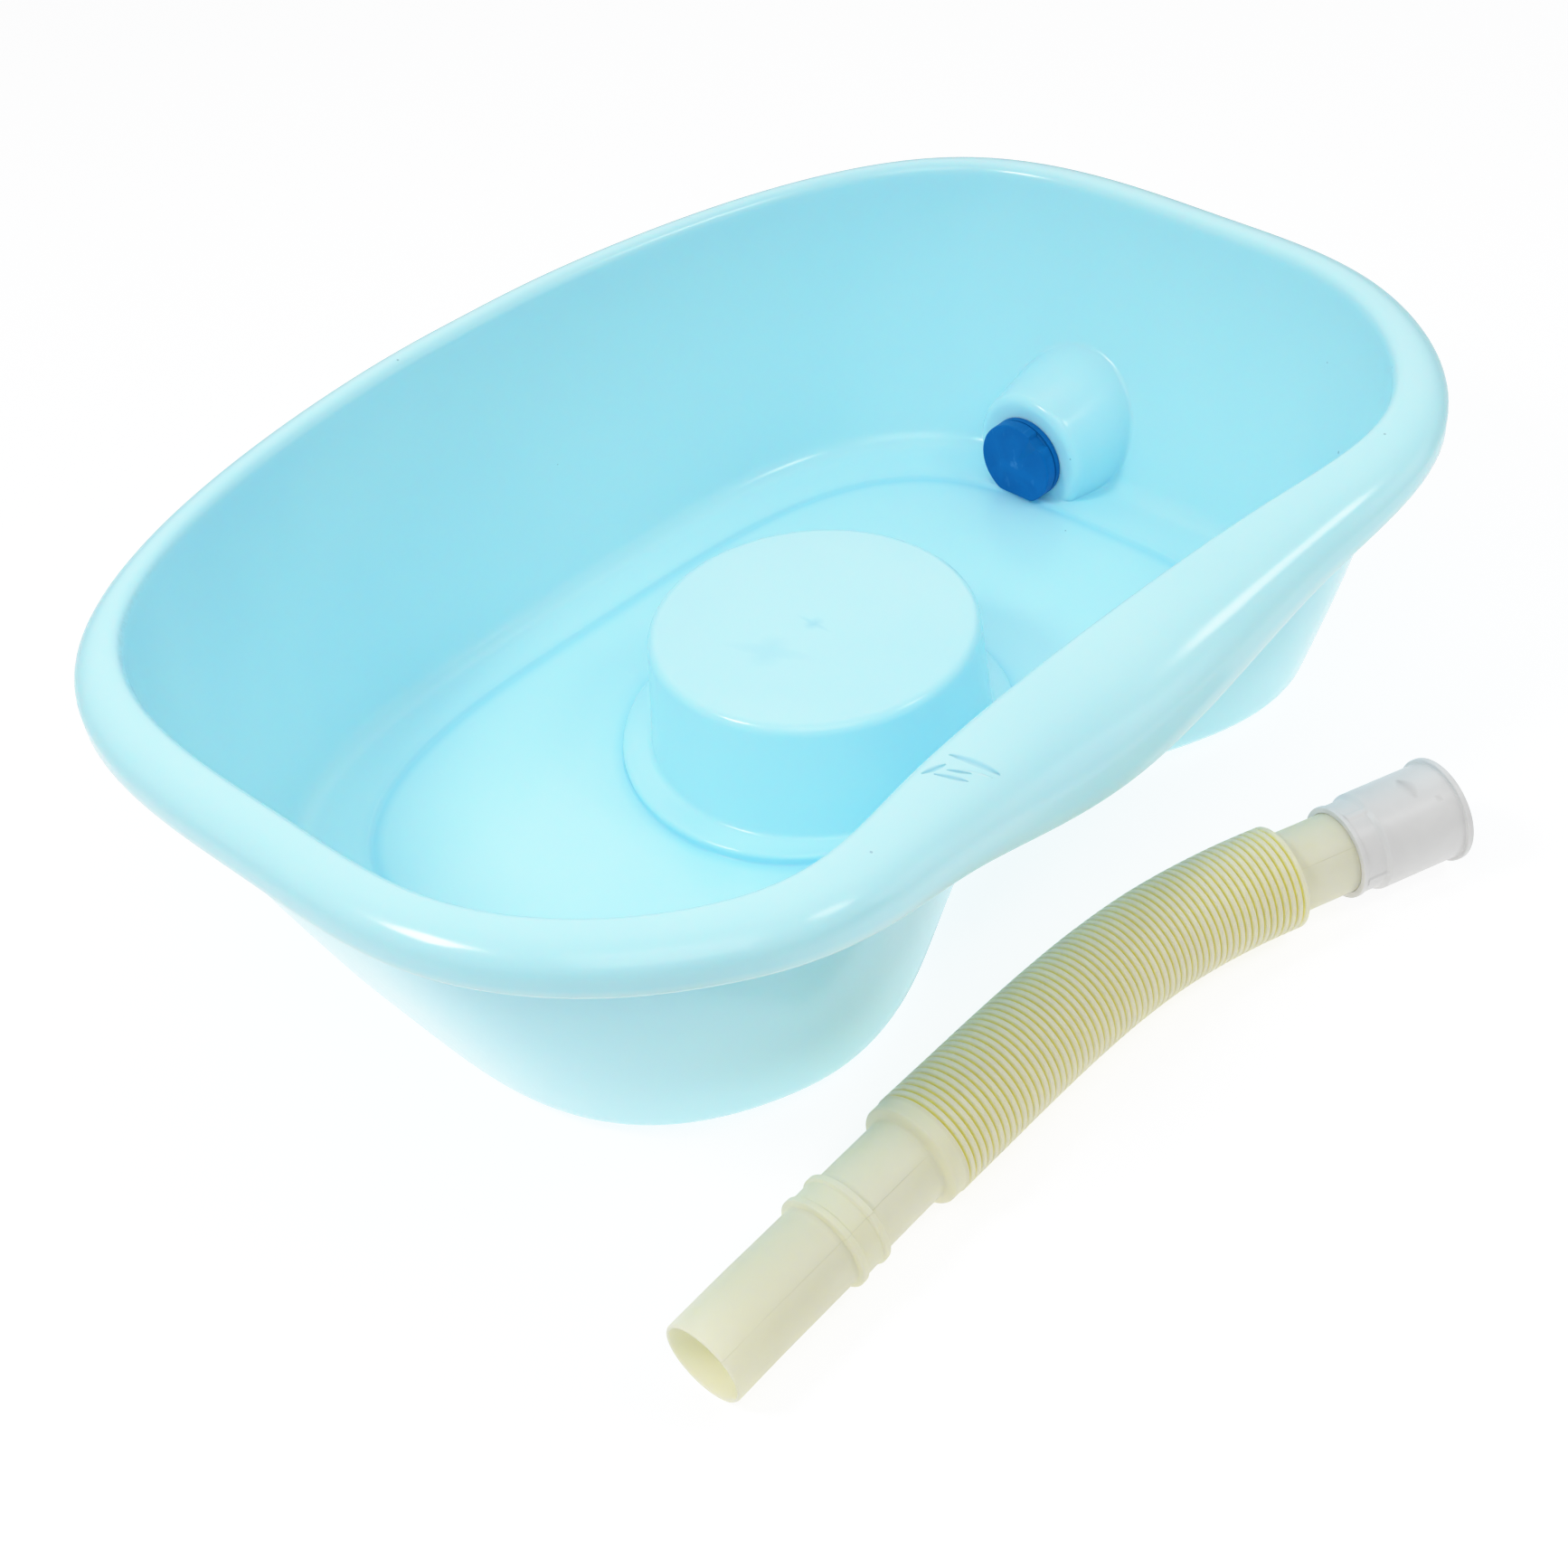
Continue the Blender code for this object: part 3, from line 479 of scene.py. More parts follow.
def wall_skin(share, level, depth):
    """From the floor band to the rim, sunk by depth: levels 0 to 1 cross the flat band, 1 to 2 go round the
    fillet, and 2 to 3 climb the wall, which leans out by a quarter sine of its height."""
    share, level = np.broadcast_arrays(share, level)
    band = wall + band_rise
    crest = rim_sizes(share)[0] - rim_rounding
    top = rim_plan.ring(share, depth, crest)
    foot = band_plan.ring(share, foot_fillet, band)
    lean = np.hypot(top[..., 0] - foot[..., 0], top[..., 1] - foot[..., 1])
    full_turn = np.arctan2(crest - band, 0.5 * np.pi * lean)
    turn = full_turn * np.clip(level - 1.0, 0.0, 1.0)
    radius = foot_fillet + depth
    fillet = band_plan.ring(share, radius * np.sin(turn), band + foot_fillet - radius * np.cos(turn))
    climb = np.clip(level - 2.0, 0.0, 1.0)[..., None]
    upright = between(fillet, top, np.sin(0.5 * np.pi * climb))
    upright[..., 2] = between(fillet[..., 2], top[..., 2], climb[..., 0])
    flat = between(
        panel_plan.ring(share, step_run, band - depth),
        band_plan.ring(share, 0.0, band - depth),
        np.clip(level, 0.0, 1.0)[..., None],
    )
    return np.where((level <= 1.0)[..., None], flat, np.where((level <= 2.0)[..., None], fillet, upright))


def floor_rows(share, depth):
    """The floor from the pedestal's middle outwards, sunk by depth: dimple, top, shoulder, side, fillet,
    plinth, its rounded edge, the panel, and the step up to the band. The numbers of the two rows in corners
    come last."""
    top = wall + pedestal_height - depth
    shoulder = pedestal_shoulder - depth
    base = wall + plinth_height - depth
    panel = wall - depth
    rows = []

    def add_circle(radius, height):
        rows.append(circle_plan(radius).ring(share, 0.0, height))

    for part in np.linspace(0.15, 1.0, 5):
        dip = gate_depth * math.cos(0.5 * math.pi * part) ** 2 * (depth == 0.0)
        add_circle(gate_radius * part, top - dip)
    flat = pedestal_top_radius - pedestal_shoulder
    for part in parts(6)[:-1]:
        add_circle(between(gate_radius, flat, part), top)
    for turn in quarter_turn(8):
        add_circle(flat + shoulder * math.sin(turn), top - shoulder * (1.0 - math.cos(turn)))
    fillet = pedestal_fillet + depth
    foot_radius = pedestal_foot_radius - depth
    for part in parts(6):
        radius = between(pedestal_top_radius, pedestal_foot_radius, part) - depth
        add_circle(radius, between(top - shoulder, base + fillet, part))
    for turn in quarter_turn(6)[1:]:
        add_circle(foot_radius + fillet * (1.0 - math.cos(turn)), base + fillet * (1.0 - math.sin(turn)))
    edge = max(plinth_edge - depth, 0.3 * plinth_edge)
    inner = circle_plan(foot_radius + fillet).ring(share, 0.0, base)
    plinth = circle_plan(plinth_radius - depth, plinth_front_trim)
    rows.append(between(inner, plinth.ring(share, -edge, base), 0.5))
    for turn in quarter_turn(6):
        outward = -edge * (1.0 - math.sin(turn))
        rows.append(plinth.ring(share, outward, base - edge * (1.0 - math.cos(turn))))
    rows.append(plinth.ring(share, 0.0, 0.5 * (base - edge + panel)))
    plinth_foot = len(rows)
    start, end = plinth.ring(share, 0.0, panel), panel_plan.ring(share, 0.0, panel)
    near = np.minimum(corner_reach / np.linalg.norm(end - start, axis=1), corner_share_limit)[:, None]
    steps = (0.0, 0.18, 0.36, 0.64, 1.0)
    rows += [between(start, end, step * near) for step in steps]
    rows += [between(start, end, between(near, 1.0 - near, part)) for part in parts(9)[:-1]]
    rows += [between(start, end, 1.0 - step * near) for step in reversed(steps)]
    step_foot = len(rows) - 1
    for part in parts(7):
        rise = band_rise * part * part * (3.0 - 2.0 * part)
        rows.append(panel_plan.ring(share, step_run * part, panel + rise))
    return rows, (plinth_foot, step_foot)


around = 320
band_levels = np.linspace(0.0, 1.0, 7)[1:]
fillet_levels = np.linspace(1.0, 2.0, 10)[1:]
wall_levels = np.linspace(2.0, 3.0, 29)[1:]
rim_levels = np.concatenate([np.linspace(0.0, 1.0, 7)[1:], np.linspace(1.0, 2.0, 13)[1:], [2.5, 3.0]])
tub_levels = np.concatenate([[0.0], band_levels, fillet_levels, wall_levels])
shares = np.arange(around) / around
skins = []
for depth in (0.0, wall):
    rows, corner_rows = floor_rows(shares, depth)
    first_wall_row = len(rows) - 1
    rows += [wall_skin(shares, step, depth) for step in tub_levels[1:]]
    rows += [rim_skin(shares, step, depth) for step in rim_levels]
    skins.append(np.array(rows))
inside, outside = skins


# Drain: a boss in the tub's right end that stands inwards over a recess, with a short spout in the recess.
# It is moulded with the tub, so its skin is one tube of rings that is sewn into a window left in both skins.
drain_height = 0.0235
drain_y = 0.053
boss_setback = 0.0164
boss_face = band_half_length - boss_setback
boss_radius = 0.031
boss_edge = 0.005
boss_taper = 0.20
boss_fillet = 0.0022
recess_edge = 0.0035
recess_lip = 0.0006
spout_radius = 0.018
spout_length = 0.030
spout_end = boss_face + spout_length
bore_radius = 0.0155
bore_edge = 0.0007
boss_lean = math.atan(boss_taper)
window_share_low, window_share_high = 0.225, 0.345
window_height = 0.082
drain_level = 1.8


def boss_corner(depth):
    """Edge radius of the boss at a depth, and the radius at which the rounding's middle lies."""
    edge = boss_edge if depth == 0.0 else recess_edge
    radius = boss_radius - depth
    return edge, radius + boss_taper * edge * (1.0 - math.sin(boss_lean)) - edge * math.cos(boss_lean)


def boss_distance(point, depth):
    """Distance from the boss's skin, negative inside it: the greater of the distances from its flat end and
    from its cone, and round its edge the distance from the rounding's middle less the edge radius."""
    edge, middle = boss_corner(depth)
    inward = boss_face + depth - point[..., 0]
    radius = np.hypot(point[..., 1] - drain_y, point[..., 2] - drain_height)
    cone = (radius - (boss_radius - depth) + boss_taper * inward) * math.cos(boss_lean)
    over_edge = inward + edge
    past_edge = radius - middle
    angle = np.arctan2(past_edge, over_edge)
    at_edge = (angle > 0.0) & (angle < 0.5 * math.pi - boss_lean)
    return np.where(at_edge, np.hypot(over_edge, past_edge) - edge, np.maximum(inward, cone))


def boss_point(way, depth):
    """Distance into the end wall and radius on the boss's skin, a way out from its middle over flat, edge and
    cone."""
    edge, middle = boss_corner(depth)
    turn = np.clip((way - middle) / edge, 0.0, 0.5 * math.pi - boss_lean)
    past = np.maximum(way - middle - edge * (0.5 * math.pi - boss_lean), 0.0)
    x = boss_face + depth + edge * (1.0 - np.cos(turn)) + past * math.cos(boss_lean)
    return x, np.minimum(way, middle) + edge * np.sin(turn) + past * math.sin(boss_lean)


def boss_way(point, depth):
    """The way out from the boss's middle at which a point of its skin lies."""
    edge, middle = boss_corner(depth)
    radius = np.hypot(point[..., 1] - drain_y, point[..., 2] - drain_height)
    over_edge = boss_face + depth + edge - point[..., 0]
    angle = np.clip(np.arctan2(radius - middle, over_edge), 0.0, 0.5 * math.pi - boss_lean)
    on_cone = (edge * math.sin(boss_lean) - over_edge) / math.cos(boss_lean)
    full = edge * (0.5 * math.pi - boss_lean)
    past_middle = middle + edge * angle + np.where(angle * edge >= full - 1e-9, on_cone, 0.0)
    return np.where(radius <= middle, radius, past_middle)


def around_drain(x, radius, angle):
    """Points at that distance along X and that radius and angle about the drain's axis."""
    y = drain_y + radius * np.cos(angle)
    return np.stack(np.broadcast_arrays(x, y, drain_height + radius * np.sin(angle)), axis=-1)


def find_foot(start, end, depth):
    """Where each straight line of the skin's own shares and levels, from inside the boss out to the window,
    leaves the boss: 40 halvings of the line."""
    low = np.zeros(len(end))
    high = np.ones(len(end))
    for _ in range(40):
        middle = 0.5 * (low + high)
        place = between(start, end, middle[:, None])
        within = boss_distance(wall_skin(place[:, 0], place[:, 1], depth), depth) < 0.0
        low = np.where(within, middle, low)
        high = np.where(within, high, middle)
    return 0.5 * (low + high)


def blend_rows(first, corner, second, count):
    """Points on parabolas that leave the first place towards the corner and reach the second from it."""
    steps = np.linspace(0.0, 1.0, count)[1:-1]
    return [(1 - t) ** 2 * first + 2 * t * (1 - t) * corner + t * t * second for t in steps]


def root_rows(window, start, depth, fillet, steps):
    """From the window in to the boss: rows along the skin, then the fillet's rows on to the boss, and the way
    and angle on the boss at which the fillet ends."""
    foot = find_foot(start, window, depth)
    step = 0.001
    at_foot = between(start, window, foot[:, None])
    beyond = between(start, window, (foot + step)[:, None])
    corner = wall_skin(at_foot[:, 0], at_foot[:, 1], depth)
    run = np.linalg.norm(wall_skin(beyond[:, 0], beyond[:, 1], depth) - corner, axis=1) / step
    outer = between(start, window, (foot + fillet / run)[:, None])
    rows = []
    for part in parts(steps):
        place = between(window, outer, part)
        rows.append(wall_skin(place[:, 0], place[:, 1], depth))
    angle = np.arctan2(corner[:, 2] - drain_height, corner[:, 1] - drain_y)
    way = boss_way(corner, depth) - fillet
    on_boss = around_drain(*boss_point(way, depth), angle)
    return rows + blend_rows(rows[-1], corner, on_boss, 6), way, angle


def edge_rows(x, radius, first, last, angle):
    """Rows round an edge of the bore or the spout: its middle's place and radius, and the quarter turns
    between which it runs, about the drain's axis."""
    rows = []
    for turn in 0.5 * math.pi * np.linspace(first, last, 4):
        rows.append(around_drain(x + bore_edge * math.cos(turn), radius + bore_edge * math.sin(turn), angle))
    return rows


def straight_rows(first, last, radius, first_angle, last_angle):
    """Rows along the drain's axis at one radius, whose angles go over from the first to the last."""
    rows = []
    for part in parts(5):
        angle = between(first_angle, last_angle, part)
        rows.append(around_drain(between(first, last, part), radius, angle))
    return rows


window_first = int(window_share_low * around)
window_last = int(window_share_high * around)
window_top = int(np.argmax(inside[:, (window_first + window_last) // 2, 2] > window_height))
window_bottom = first_wall_row
columns = np.arange(window_first, window_last)
levels = np.arange(window_bottom, window_top)
sides = [[window_last] * len(levels), [window_first] * len(levels)]
loop_columns = np.concatenate([columns, sides[0], columns[::-1] + 1, sides[1]])
ends = [[window_bottom] * len(columns), [window_top] * len(columns)]
loop_rows = np.concatenate([ends[0], levels, ends[1], levels[::-1] + 1])
window = np.stack([loop_columns / around, tub_levels[loop_rows - first_wall_row]], axis=1)
foot_shares = np.linspace(window_share_low, window_share_high, 400)
foot_gaps = np.abs(wall_skin(foot_shares, drain_level, 0.0)[:, 1] - drain_y)
drain_start = np.array([foot_shares[np.argmin(foot_gaps)], drain_level])

boss_rows, boss_end, boss_angle = root_rows(window, drain_start, 0.0, boss_fillet, 8)
recess_rows, recess_end, recess_angle = root_rows(window, drain_start, wall, recess_lip, 8)
boss_angle = np.unwrap(boss_angle)
recess_angle = np.unwrap(recess_angle)
recess_angle += 2.0 * math.pi * np.round((boss_angle[0] - recess_angle[0]) / (2.0 * math.pi))
tube = list(boss_rows)
for part in np.linspace(0.0, 1.0, 40):
    way = between(boss_end, bore_radius + bore_edge, part)
    tube.append(around_drain(*boss_point(way, 0.0), boss_angle))
bore_start, bore_end = boss_face + bore_edge, spout_end - bore_edge
spout_root = boss_face + wall + bore_edge
tube += edge_rows(bore_start, bore_radius + bore_edge, 2.0, 3.0, boss_angle)[1:]
tube += straight_rows(bore_start, bore_end, bore_radius, boss_angle, recess_angle)
tube += edge_rows(bore_end, bore_radius + bore_edge, 3.0, 4.0, recess_angle)[1:]
tube += edge_rows(bore_end, spout_radius - bore_edge, 0.0, 1.0, recess_angle)
tube += straight_rows(bore_end, spout_root, spout_radius, recess_angle, recess_angle)
tube += edge_rows(spout_root, spout_radius + bore_edge, 3.0, 2.0, recess_angle)[1:]
for part in parts(24):
    way = between(spout_radius + bore_edge, recess_end, part)
    tube.append(around_drain(*boss_point(way, wall), recess_angle))
tube += recess_rows[::-1]


# The tub's mesh: both skins, each ring's points in the same order, with the window left out, the rim's lower
# edge and the middles closed, and the drain's tube sewn to both windows.
def grid_faces(first, second):
    """Quads between two closed rows of point numbers."""
    return np.stack([first, second, np.roll(second, -1), np.roll(first, -1)], axis=1)


def finish_mesh(item):
    """Drops the points that no face uses, turns all faces outwards and shades them smooth."""
    shape = bmesh.new()
    shape.from_mesh(item.data)
    bmesh.ops.delete(shape, geom=[v for v in shape.verts if not v.link_faces], context="VERTS")
    bmesh.ops.recalc_face_normals(shape, faces=shape.faces)
    shape.to_mesh(item.data)
    shape.free()
    item.data.shade_smooth()


centre_shift = -0.5 * (inside[-1, :, 1].max() + inside[-1, :, 1].min())
row_count = len(inside)
points = np.vstack([inside.reshape(-1, 3), outside.reshape(-1, 3)])
numbers = np.arange(2 * row_count * around).reshape(2, row_count, around)
faces = []
for skin in numbers:
    for row in range(row_count - 1):
        quads = grid_faces(skin[row], skin[row + 1])
        if window_bottom <= row < window_top:
            quads = np.delete(quads, columns, axis=0)
        faces.append(quads)
extra = [rim_skin(shares, 3.0 + part, 0.0) for part in parts(6)[:-1]] + tube
sizes = [len(row) for row in extra]
starts = len(points) + np.concatenate([[0], np.cumsum(sizes)])
points = np.vstack([points] + extra)
extra_numbers = [np.arange(start, start + size) for start, size in zip(starts, sizes)]
lip = [numbers[0, -1]] + extra_numbers[:4] + [numbers[1, -1]]
sleeve = [numbers[0][loop_rows, loop_columns]] + extra_numbers[4:] + [numbers[1][loop_rows, loop_columns]]
for strip in (lip, sleeve):
    faces += [grid_faces(first, second) for first, second in zip(strip[:-1], strip[1:])]
faces = [tuple(face) for face in np.vstack(faces).tolist()]
for skin in numbers:
    faces.append(tuple(skin[0].tolist()))
# How near each point of the floor inside lies to the corner round the plinth and to the one round the panel
# (painted shade), and which points make the skirt's lower edge (a painted highlight).
plinth_shade_reach, panel_shade_reach = 0.0045, 0.0034
painted_corner_shade = np.zeros(len(points))
floor_inside = inside[: first_wall_row + 1]
for row, reach in zip(corner_rows, (plinth_shade_reach, panel_shade_reach)):
    gap = np.linalg.norm(floor_inside - floor_inside[row], axis=2).ravel()
    painted_corner_shade[: len(gap)] = np.maximum(painted_corner_shade[: len(gap)], np.exp(-((gap / reach) ** 2)))
# Painted highlight: the points of the skirt's lower edge, where the tub's colour is made lighter.
edge = np.zeros(len(points))
edge[np.concatenate(lip[:4])] = 1.0
# Faint grime along the crest's inner edge, at the left end and the left half of the front.
grime_start, grime_fade_in = 0.62, 0.08
grime_end, grime_fade_out = 0.96, 0.06
grime_strengths = (0.7, 1.0, 0.4)
grime = np.zeros(len(points))
dirty_part = np.clip((shares - grime_start) / grime_fade_in, 0.0, 1.0)
dirty_part *= np.clip((grime_end - shares) / grime_fade_out, 0.0, 1.0)
for step, strength in enumerate(grime_strengths, start=1):
    grime[numbers[0, first_wall_row + len(tub_levels) - 1 + step]] = strength * dirty_part
points[:, 1] += centre_shift
tub = add_mesh("tub", points, faces)
for name, marks in (("painted_corner_shade", painted_corner_shade), ("edge", edge), ("grime", grime)):
    tub.data.attributes.new(name, "FLOAT", "POINT").data.foreach_set("value", marks)
finish_mesh(tub)

tub_paint, tree, shader, place, uneven = start_plastic("tub_glossy_pale_blue", 5.0, 60.0)
shade = mottle(tree, uneven, 0.35, 0.65, (187, 238, 254), (192, 241, 255))
# Painted shade: the floor goes a deeper blue next to the corners round the plinth and the panel.
shade = stain(tree, shade, read_attribute(tree, "painted_corner_shade"), 0.45, (132, 218, 242))
# Painted highlight: a lighter line along the skirt's lower edge.
shade = stain(tree, shade, read_attribute(tree, "edge"), 0.5, (222, 248, 252))
grime = multiply(tree, read_attribute(tree, "grime"), soft_range(tree, uneven["Grain"], 0.35, 0.65))
shade = stain(tree, shade, grime, 0.30, (150, 176, 160))
dimple = add_mark(tree, place, (-0.0020, -0.0182, 0.0640), (0.0005, -0.0182, 0.0640), 0.0110)
smudge = add_mark(tree, place, (-0.0300, -0.0180, 0.0640), (-0.0230, -0.0150, 0.0640), 0.0240)
smudge = calculate(tree, "MULTIPLY_ADD", smudge, 0.30, multiply(tree, dimple, 0.55))
shade = mix_colours(tree, smudge, shade, linear(150, 214, 234))
creases = [
    ((-0.0815, -0.1675, 0.1243), (-0.0747, -0.1838, 0.1196), 0.0024),
    ((-0.0950, -0.1720, 0.1268), (-0.0883, -0.1811, 0.1240), 0.0014),
    ((-0.0978, -0.1688, 0.1274), (-0.0876, -0.1702, 0.1254), 0.0016),
    ((-0.0895, -0.1730, 0.1258), (-0.0840, -0.1790, 0.1235), 0.0012),
]
crease_dip_and_painted_shade = 0.0
for start, end, half_width in creases:
    crease_dip_and_painted_shade = calculate(tree, "MAXIMUM", add_mark(tree, place, start, end, half_width), crease_dip_and_painted_shade)
raised_line_and_painted_highlight = add_mark(tree, place, (-0.0862, -0.1752, 0.1245), (-0.0785, -0.1840, 0.1205), 0.0009)
# Painted shade darkens the neck rest's creases and a painted highlight lightens the raised line beside them;
# the bump below also gives both real relief.
shade = stain(tree, shade, crease_dip_and_painted_shade, 0.60, (96, 180, 204))
shade = stain(tree, shade, raised_line_and_painted_highlight, 0.5, (214, 244, 250))
shade = stain(tree, shade, uneven["Specks"], 0.40, (70, 110, 120))
speck_length, speck_half_width = 0.0004, 0.0009
for spot in ((0.2037, 0.0057, 0.0314), (0.1867, -0.0052, 0.0030)):
    speck = add_mark(tree, place, spot, (spot[0] + speck_length, spot[1], spot[2]), speck_half_width)
    shade = stain(tree, shade, speck, 0.8, (40, 90, 100))
gloss = calculate(tree, "MULTIPLY_ADD", uneven["Grain"], 0.10, 0.13)
gloss = calculate(tree, "MULTIPLY_ADD", uneven["Scuffs"], 0.05, gloss)
feed(tree, shader, {"Base Color": shade, "Roughness": gloss, "IOR": 1.49, "Subsurface Weight": 0.5})
feed(tree, shader, {"Subsurface Scale": 0.005, "Subsurface Radius": (0.25, 0.8, 1.0)})
relief = calculate(tree, "MULTIPLY_ADD", uneven["Grain"], 0.02, multiply(tree, uneven["Flow"], 0.6))
relief = calculate(tree, "MULTIPLY_ADD", crease_dip_and_painted_shade, -1.0, relief)
add_bump(tree, shader, calculate(tree, "MULTIPLY_ADD", raised_line_and_painted_highlight, 0.6, relief), 0.0005)
tub.data.materials.append(tub_paint)
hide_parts("basin_shell")
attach(tub, "tub")


# Plug: a deep blue stopper pushed into the spout from inside, turned about the drain's axis. It has two
# flanges with a groove between, both flat underneath, a finger notch in the front one, and a hollow shank
# with two ridges.
fit_gap = 0.0004
plug_radius = 0.0209
plug_seat = -fit_gap
plug_front = plug_seat - 0.0096
plug_groove_low = plug_seat - 0.0028
plug_groove_high = plug_groove_low - 0.0008
plug_groove_depth = 0.0008
plug_shank = bore_radius - fit_gap - 0.0006
plug_seal = 0.0006
plug_seal_pitch = 0.004
plug_end = plug_seat + 0.0135
plug_inner = plug_shank - 0.0018
plug_floor = plug_front + 0.003
plug_clearance = 0.0005
plug_flat = drain_height - wall - band_rise - plug_clearance
plug_notch_angle = math.radians(128.0)
plug_notch_half_width = 0.0042
plug_notch_depth = 0.0016
plug_notch_run = 0.0006
plug_inset_start = plug_shank + 0.001
plug_inset_full = plug_radius - plug_groove_depth - 0.0005
plug_middle = 0.0002
soft_rest = 0.0002


def soften(corners, steps=5):
    """The profile through corners given as radius, height and rounding. Each corner is cut back along both of
    its sides, by two fifths of a side at most, and a parabola joins the two places, with a point shortly
    before it and one after."""
    shape = np.array([corner[:2] for corner in corners], dtype=float)
    profile = [shape[0]]
    for number in range(1, len(shape) - 1):
        corner, cut = shape[number], corners[number][2]
        if cut == 0.0:
            profile.append(corner)
            continue
        reached = []
        for neighbour in (shape[number - 1], shape[number + 1]):
            length = np.linalg.norm(neighbour - corner)
            side = (neighbour - corner) / length
            place = corner + side * min(cut, 0.4 * length)
            reached.append((place, place + side * 0.8 * min(soft_rest, 0.1 * length)))
        (start, before), (end, after) = reached
        profile += [before, start] + blend_rows(start, corner, end, steps) + [end, after]
    profile.append(shape[-1])
    return np.array(profile)


def ring_mesh(name, rings, looped):
    """A closed object from rings of equally many points. The last ring joins the first, or both ends are
    filled. Its UV map holds the share of the way round and, in metres, the way along the first points."""
    count, around_ring = rings.shape[:2]
    numbers = np.arange(count * around_ring).reshape(count, around_ring)
    steps = np.linalg.norm(np.diff(rings[:, 0], axis=0), axis=1)
    along = np.concatenate([[0.0], np.cumsum(steps)])
    along = np.append(along, along[-1])
    rows = list(range(count)) + ([0] if looped else [])
    faces = []
    chart = []
    turn = np.arange(around_ring + 1) / around_ring
    left, right = turn[:-1], turn[1:]
    for place, (first, second) in enumerate(zip(rows[:-1], rows[1:])):
        faces.append(grid_faces(numbers[first], numbers[second]))
        low, high = np.full(around_ring, along[place]), np.full(around_ring, along[place + 1])
        chart.append(np.stack([left, low, left, high, right, high, right, low], axis=1))
    faces = [tuple(face) for face in np.vstack(faces).tolist()]
    chart = np.vstack(chart).reshape(-1)
    if not looped:
        faces += [tuple(numbers[0].tolist()), tuple(numbers[-1].tolist())]
        chart = np.concatenate([chart, np.zeros(4 * around_ring)])
    item = add_mesh(name, rings.reshape(-1, 3), faces)
    item.data.uv_layers.new(name="round_and_along").data.foreach_set("uv", chart)
    finish_mesh(item)
    return item


def ridge(place):
    """Corners of one sealing ridge on the shank, at that distance from the seat."""
    return [
        (plug_shank, plug_seat + place - plug_seal, 0.0001),
        (plug_shank + plug_seal, plug_seat + place, 0.0002),
        (plug_shank, plug_seat + place + plug_seal, 0.0001),
    ]


plug_profile = soften(
    [
        (plug_middle, plug_front, 0.0),
        (plug_radius, plug_front, 0.0010),
        (plug_radius, plug_groove_high, 0.0003),
        (plug_radius - plug_groove_depth, plug_groove_high, 0.0001),
        (plug_radius - plug_groove_depth, plug_groove_low, 0.0001),
        (plug_radius, plug_groove_low, 0.0003),
        (plug_radius, plug_seat, 0.0003),
        (plug_shank, plug_seat, 0.0003),
        *ridge(plug_seal_pitch),
        *ridge(2.0 * plug_seal_pitch),
        (plug_shank, plug_end, 0.0009),
        (plug_inner, plug_end, 0.0004),
        (plug_inner, plug_floor, 0.0008),
        (plug_middle, plug_floor, 0.0),
    ]
)
plug_around = 192
plug_turn = 2.0 * math.pi * np.arange(plug_around) / plug_around
# The outline is a circle cut off by the flat: the shorter of the two reaches, by a high power, at each angle.
below = np.maximum(-np.sin(plug_turn), 1e-6)
sharpness = 80.0
outline = ((1.0 / plug_radius) ** sharpness + (below / plug_flat) ** sharpness) ** (-1.0 / sharpness)
plug_rings = []
for radius, height in plug_profile:
    weight = np.clip((radius - plug_inset_start) / (plug_inset_full - plug_inset_start), 0.0, 1.0)
    reach = radius - (plug_radius - outline) * weight
    if height < plug_groove_high and weight > 0.0:
        off_notch = np.abs(plug_turn - plug_notch_angle) * plug_radius
        cut = np.clip((plug_notch_half_width - off_notch) / plug_notch_run, 0.0, 1.0)
        reach = np.minimum(reach, plug_radius - plug_notch_depth * cut)
    plug_rings.append(around_drain(boss_face + height, reach, plug_turn))
plug = ring_mesh("plug", np.array(plug_rings) + [0.0, centre_shift, 0.0], False)

plug_paint, tree, shader, place, uneven = start_plastic("plug_satin_blue", 60.0, 400.0)
shade = mottle(tree, uneven, 0.3, 0.7, (0, 103, 170), (4, 112, 180))
swirl = add_mark(tree, place, (0.1936, 0.0344, 0.0220), (0.1936, 0.0304, 0.0255), 0.0040)
swirl = multiply(tree, swirl, soft_range(tree, uneven["Grain"], 0.45, 0.60))
shade = stain(tree, shade, swirl, 0.35, (90, 165, 215))
shade = stain(tree, shade, uneven["Scuffs"], 0.12, (80, 155, 210))
rough = calculate(tree, "MULTIPLY_ADD", uneven["Grain"], 0.2, 0.40)
feed(tree, shader, {"Base Color": shade, "Roughness": rough, "Specular IOR Level": 0.12})
add_bump(tree, shader, calculate(tree, "ADD", uneven["Flow"], uneven["Grain"]), 0.00006)
plug.data.materials.append(plug_paint)
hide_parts("drain_plug")
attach(plug, "plug")


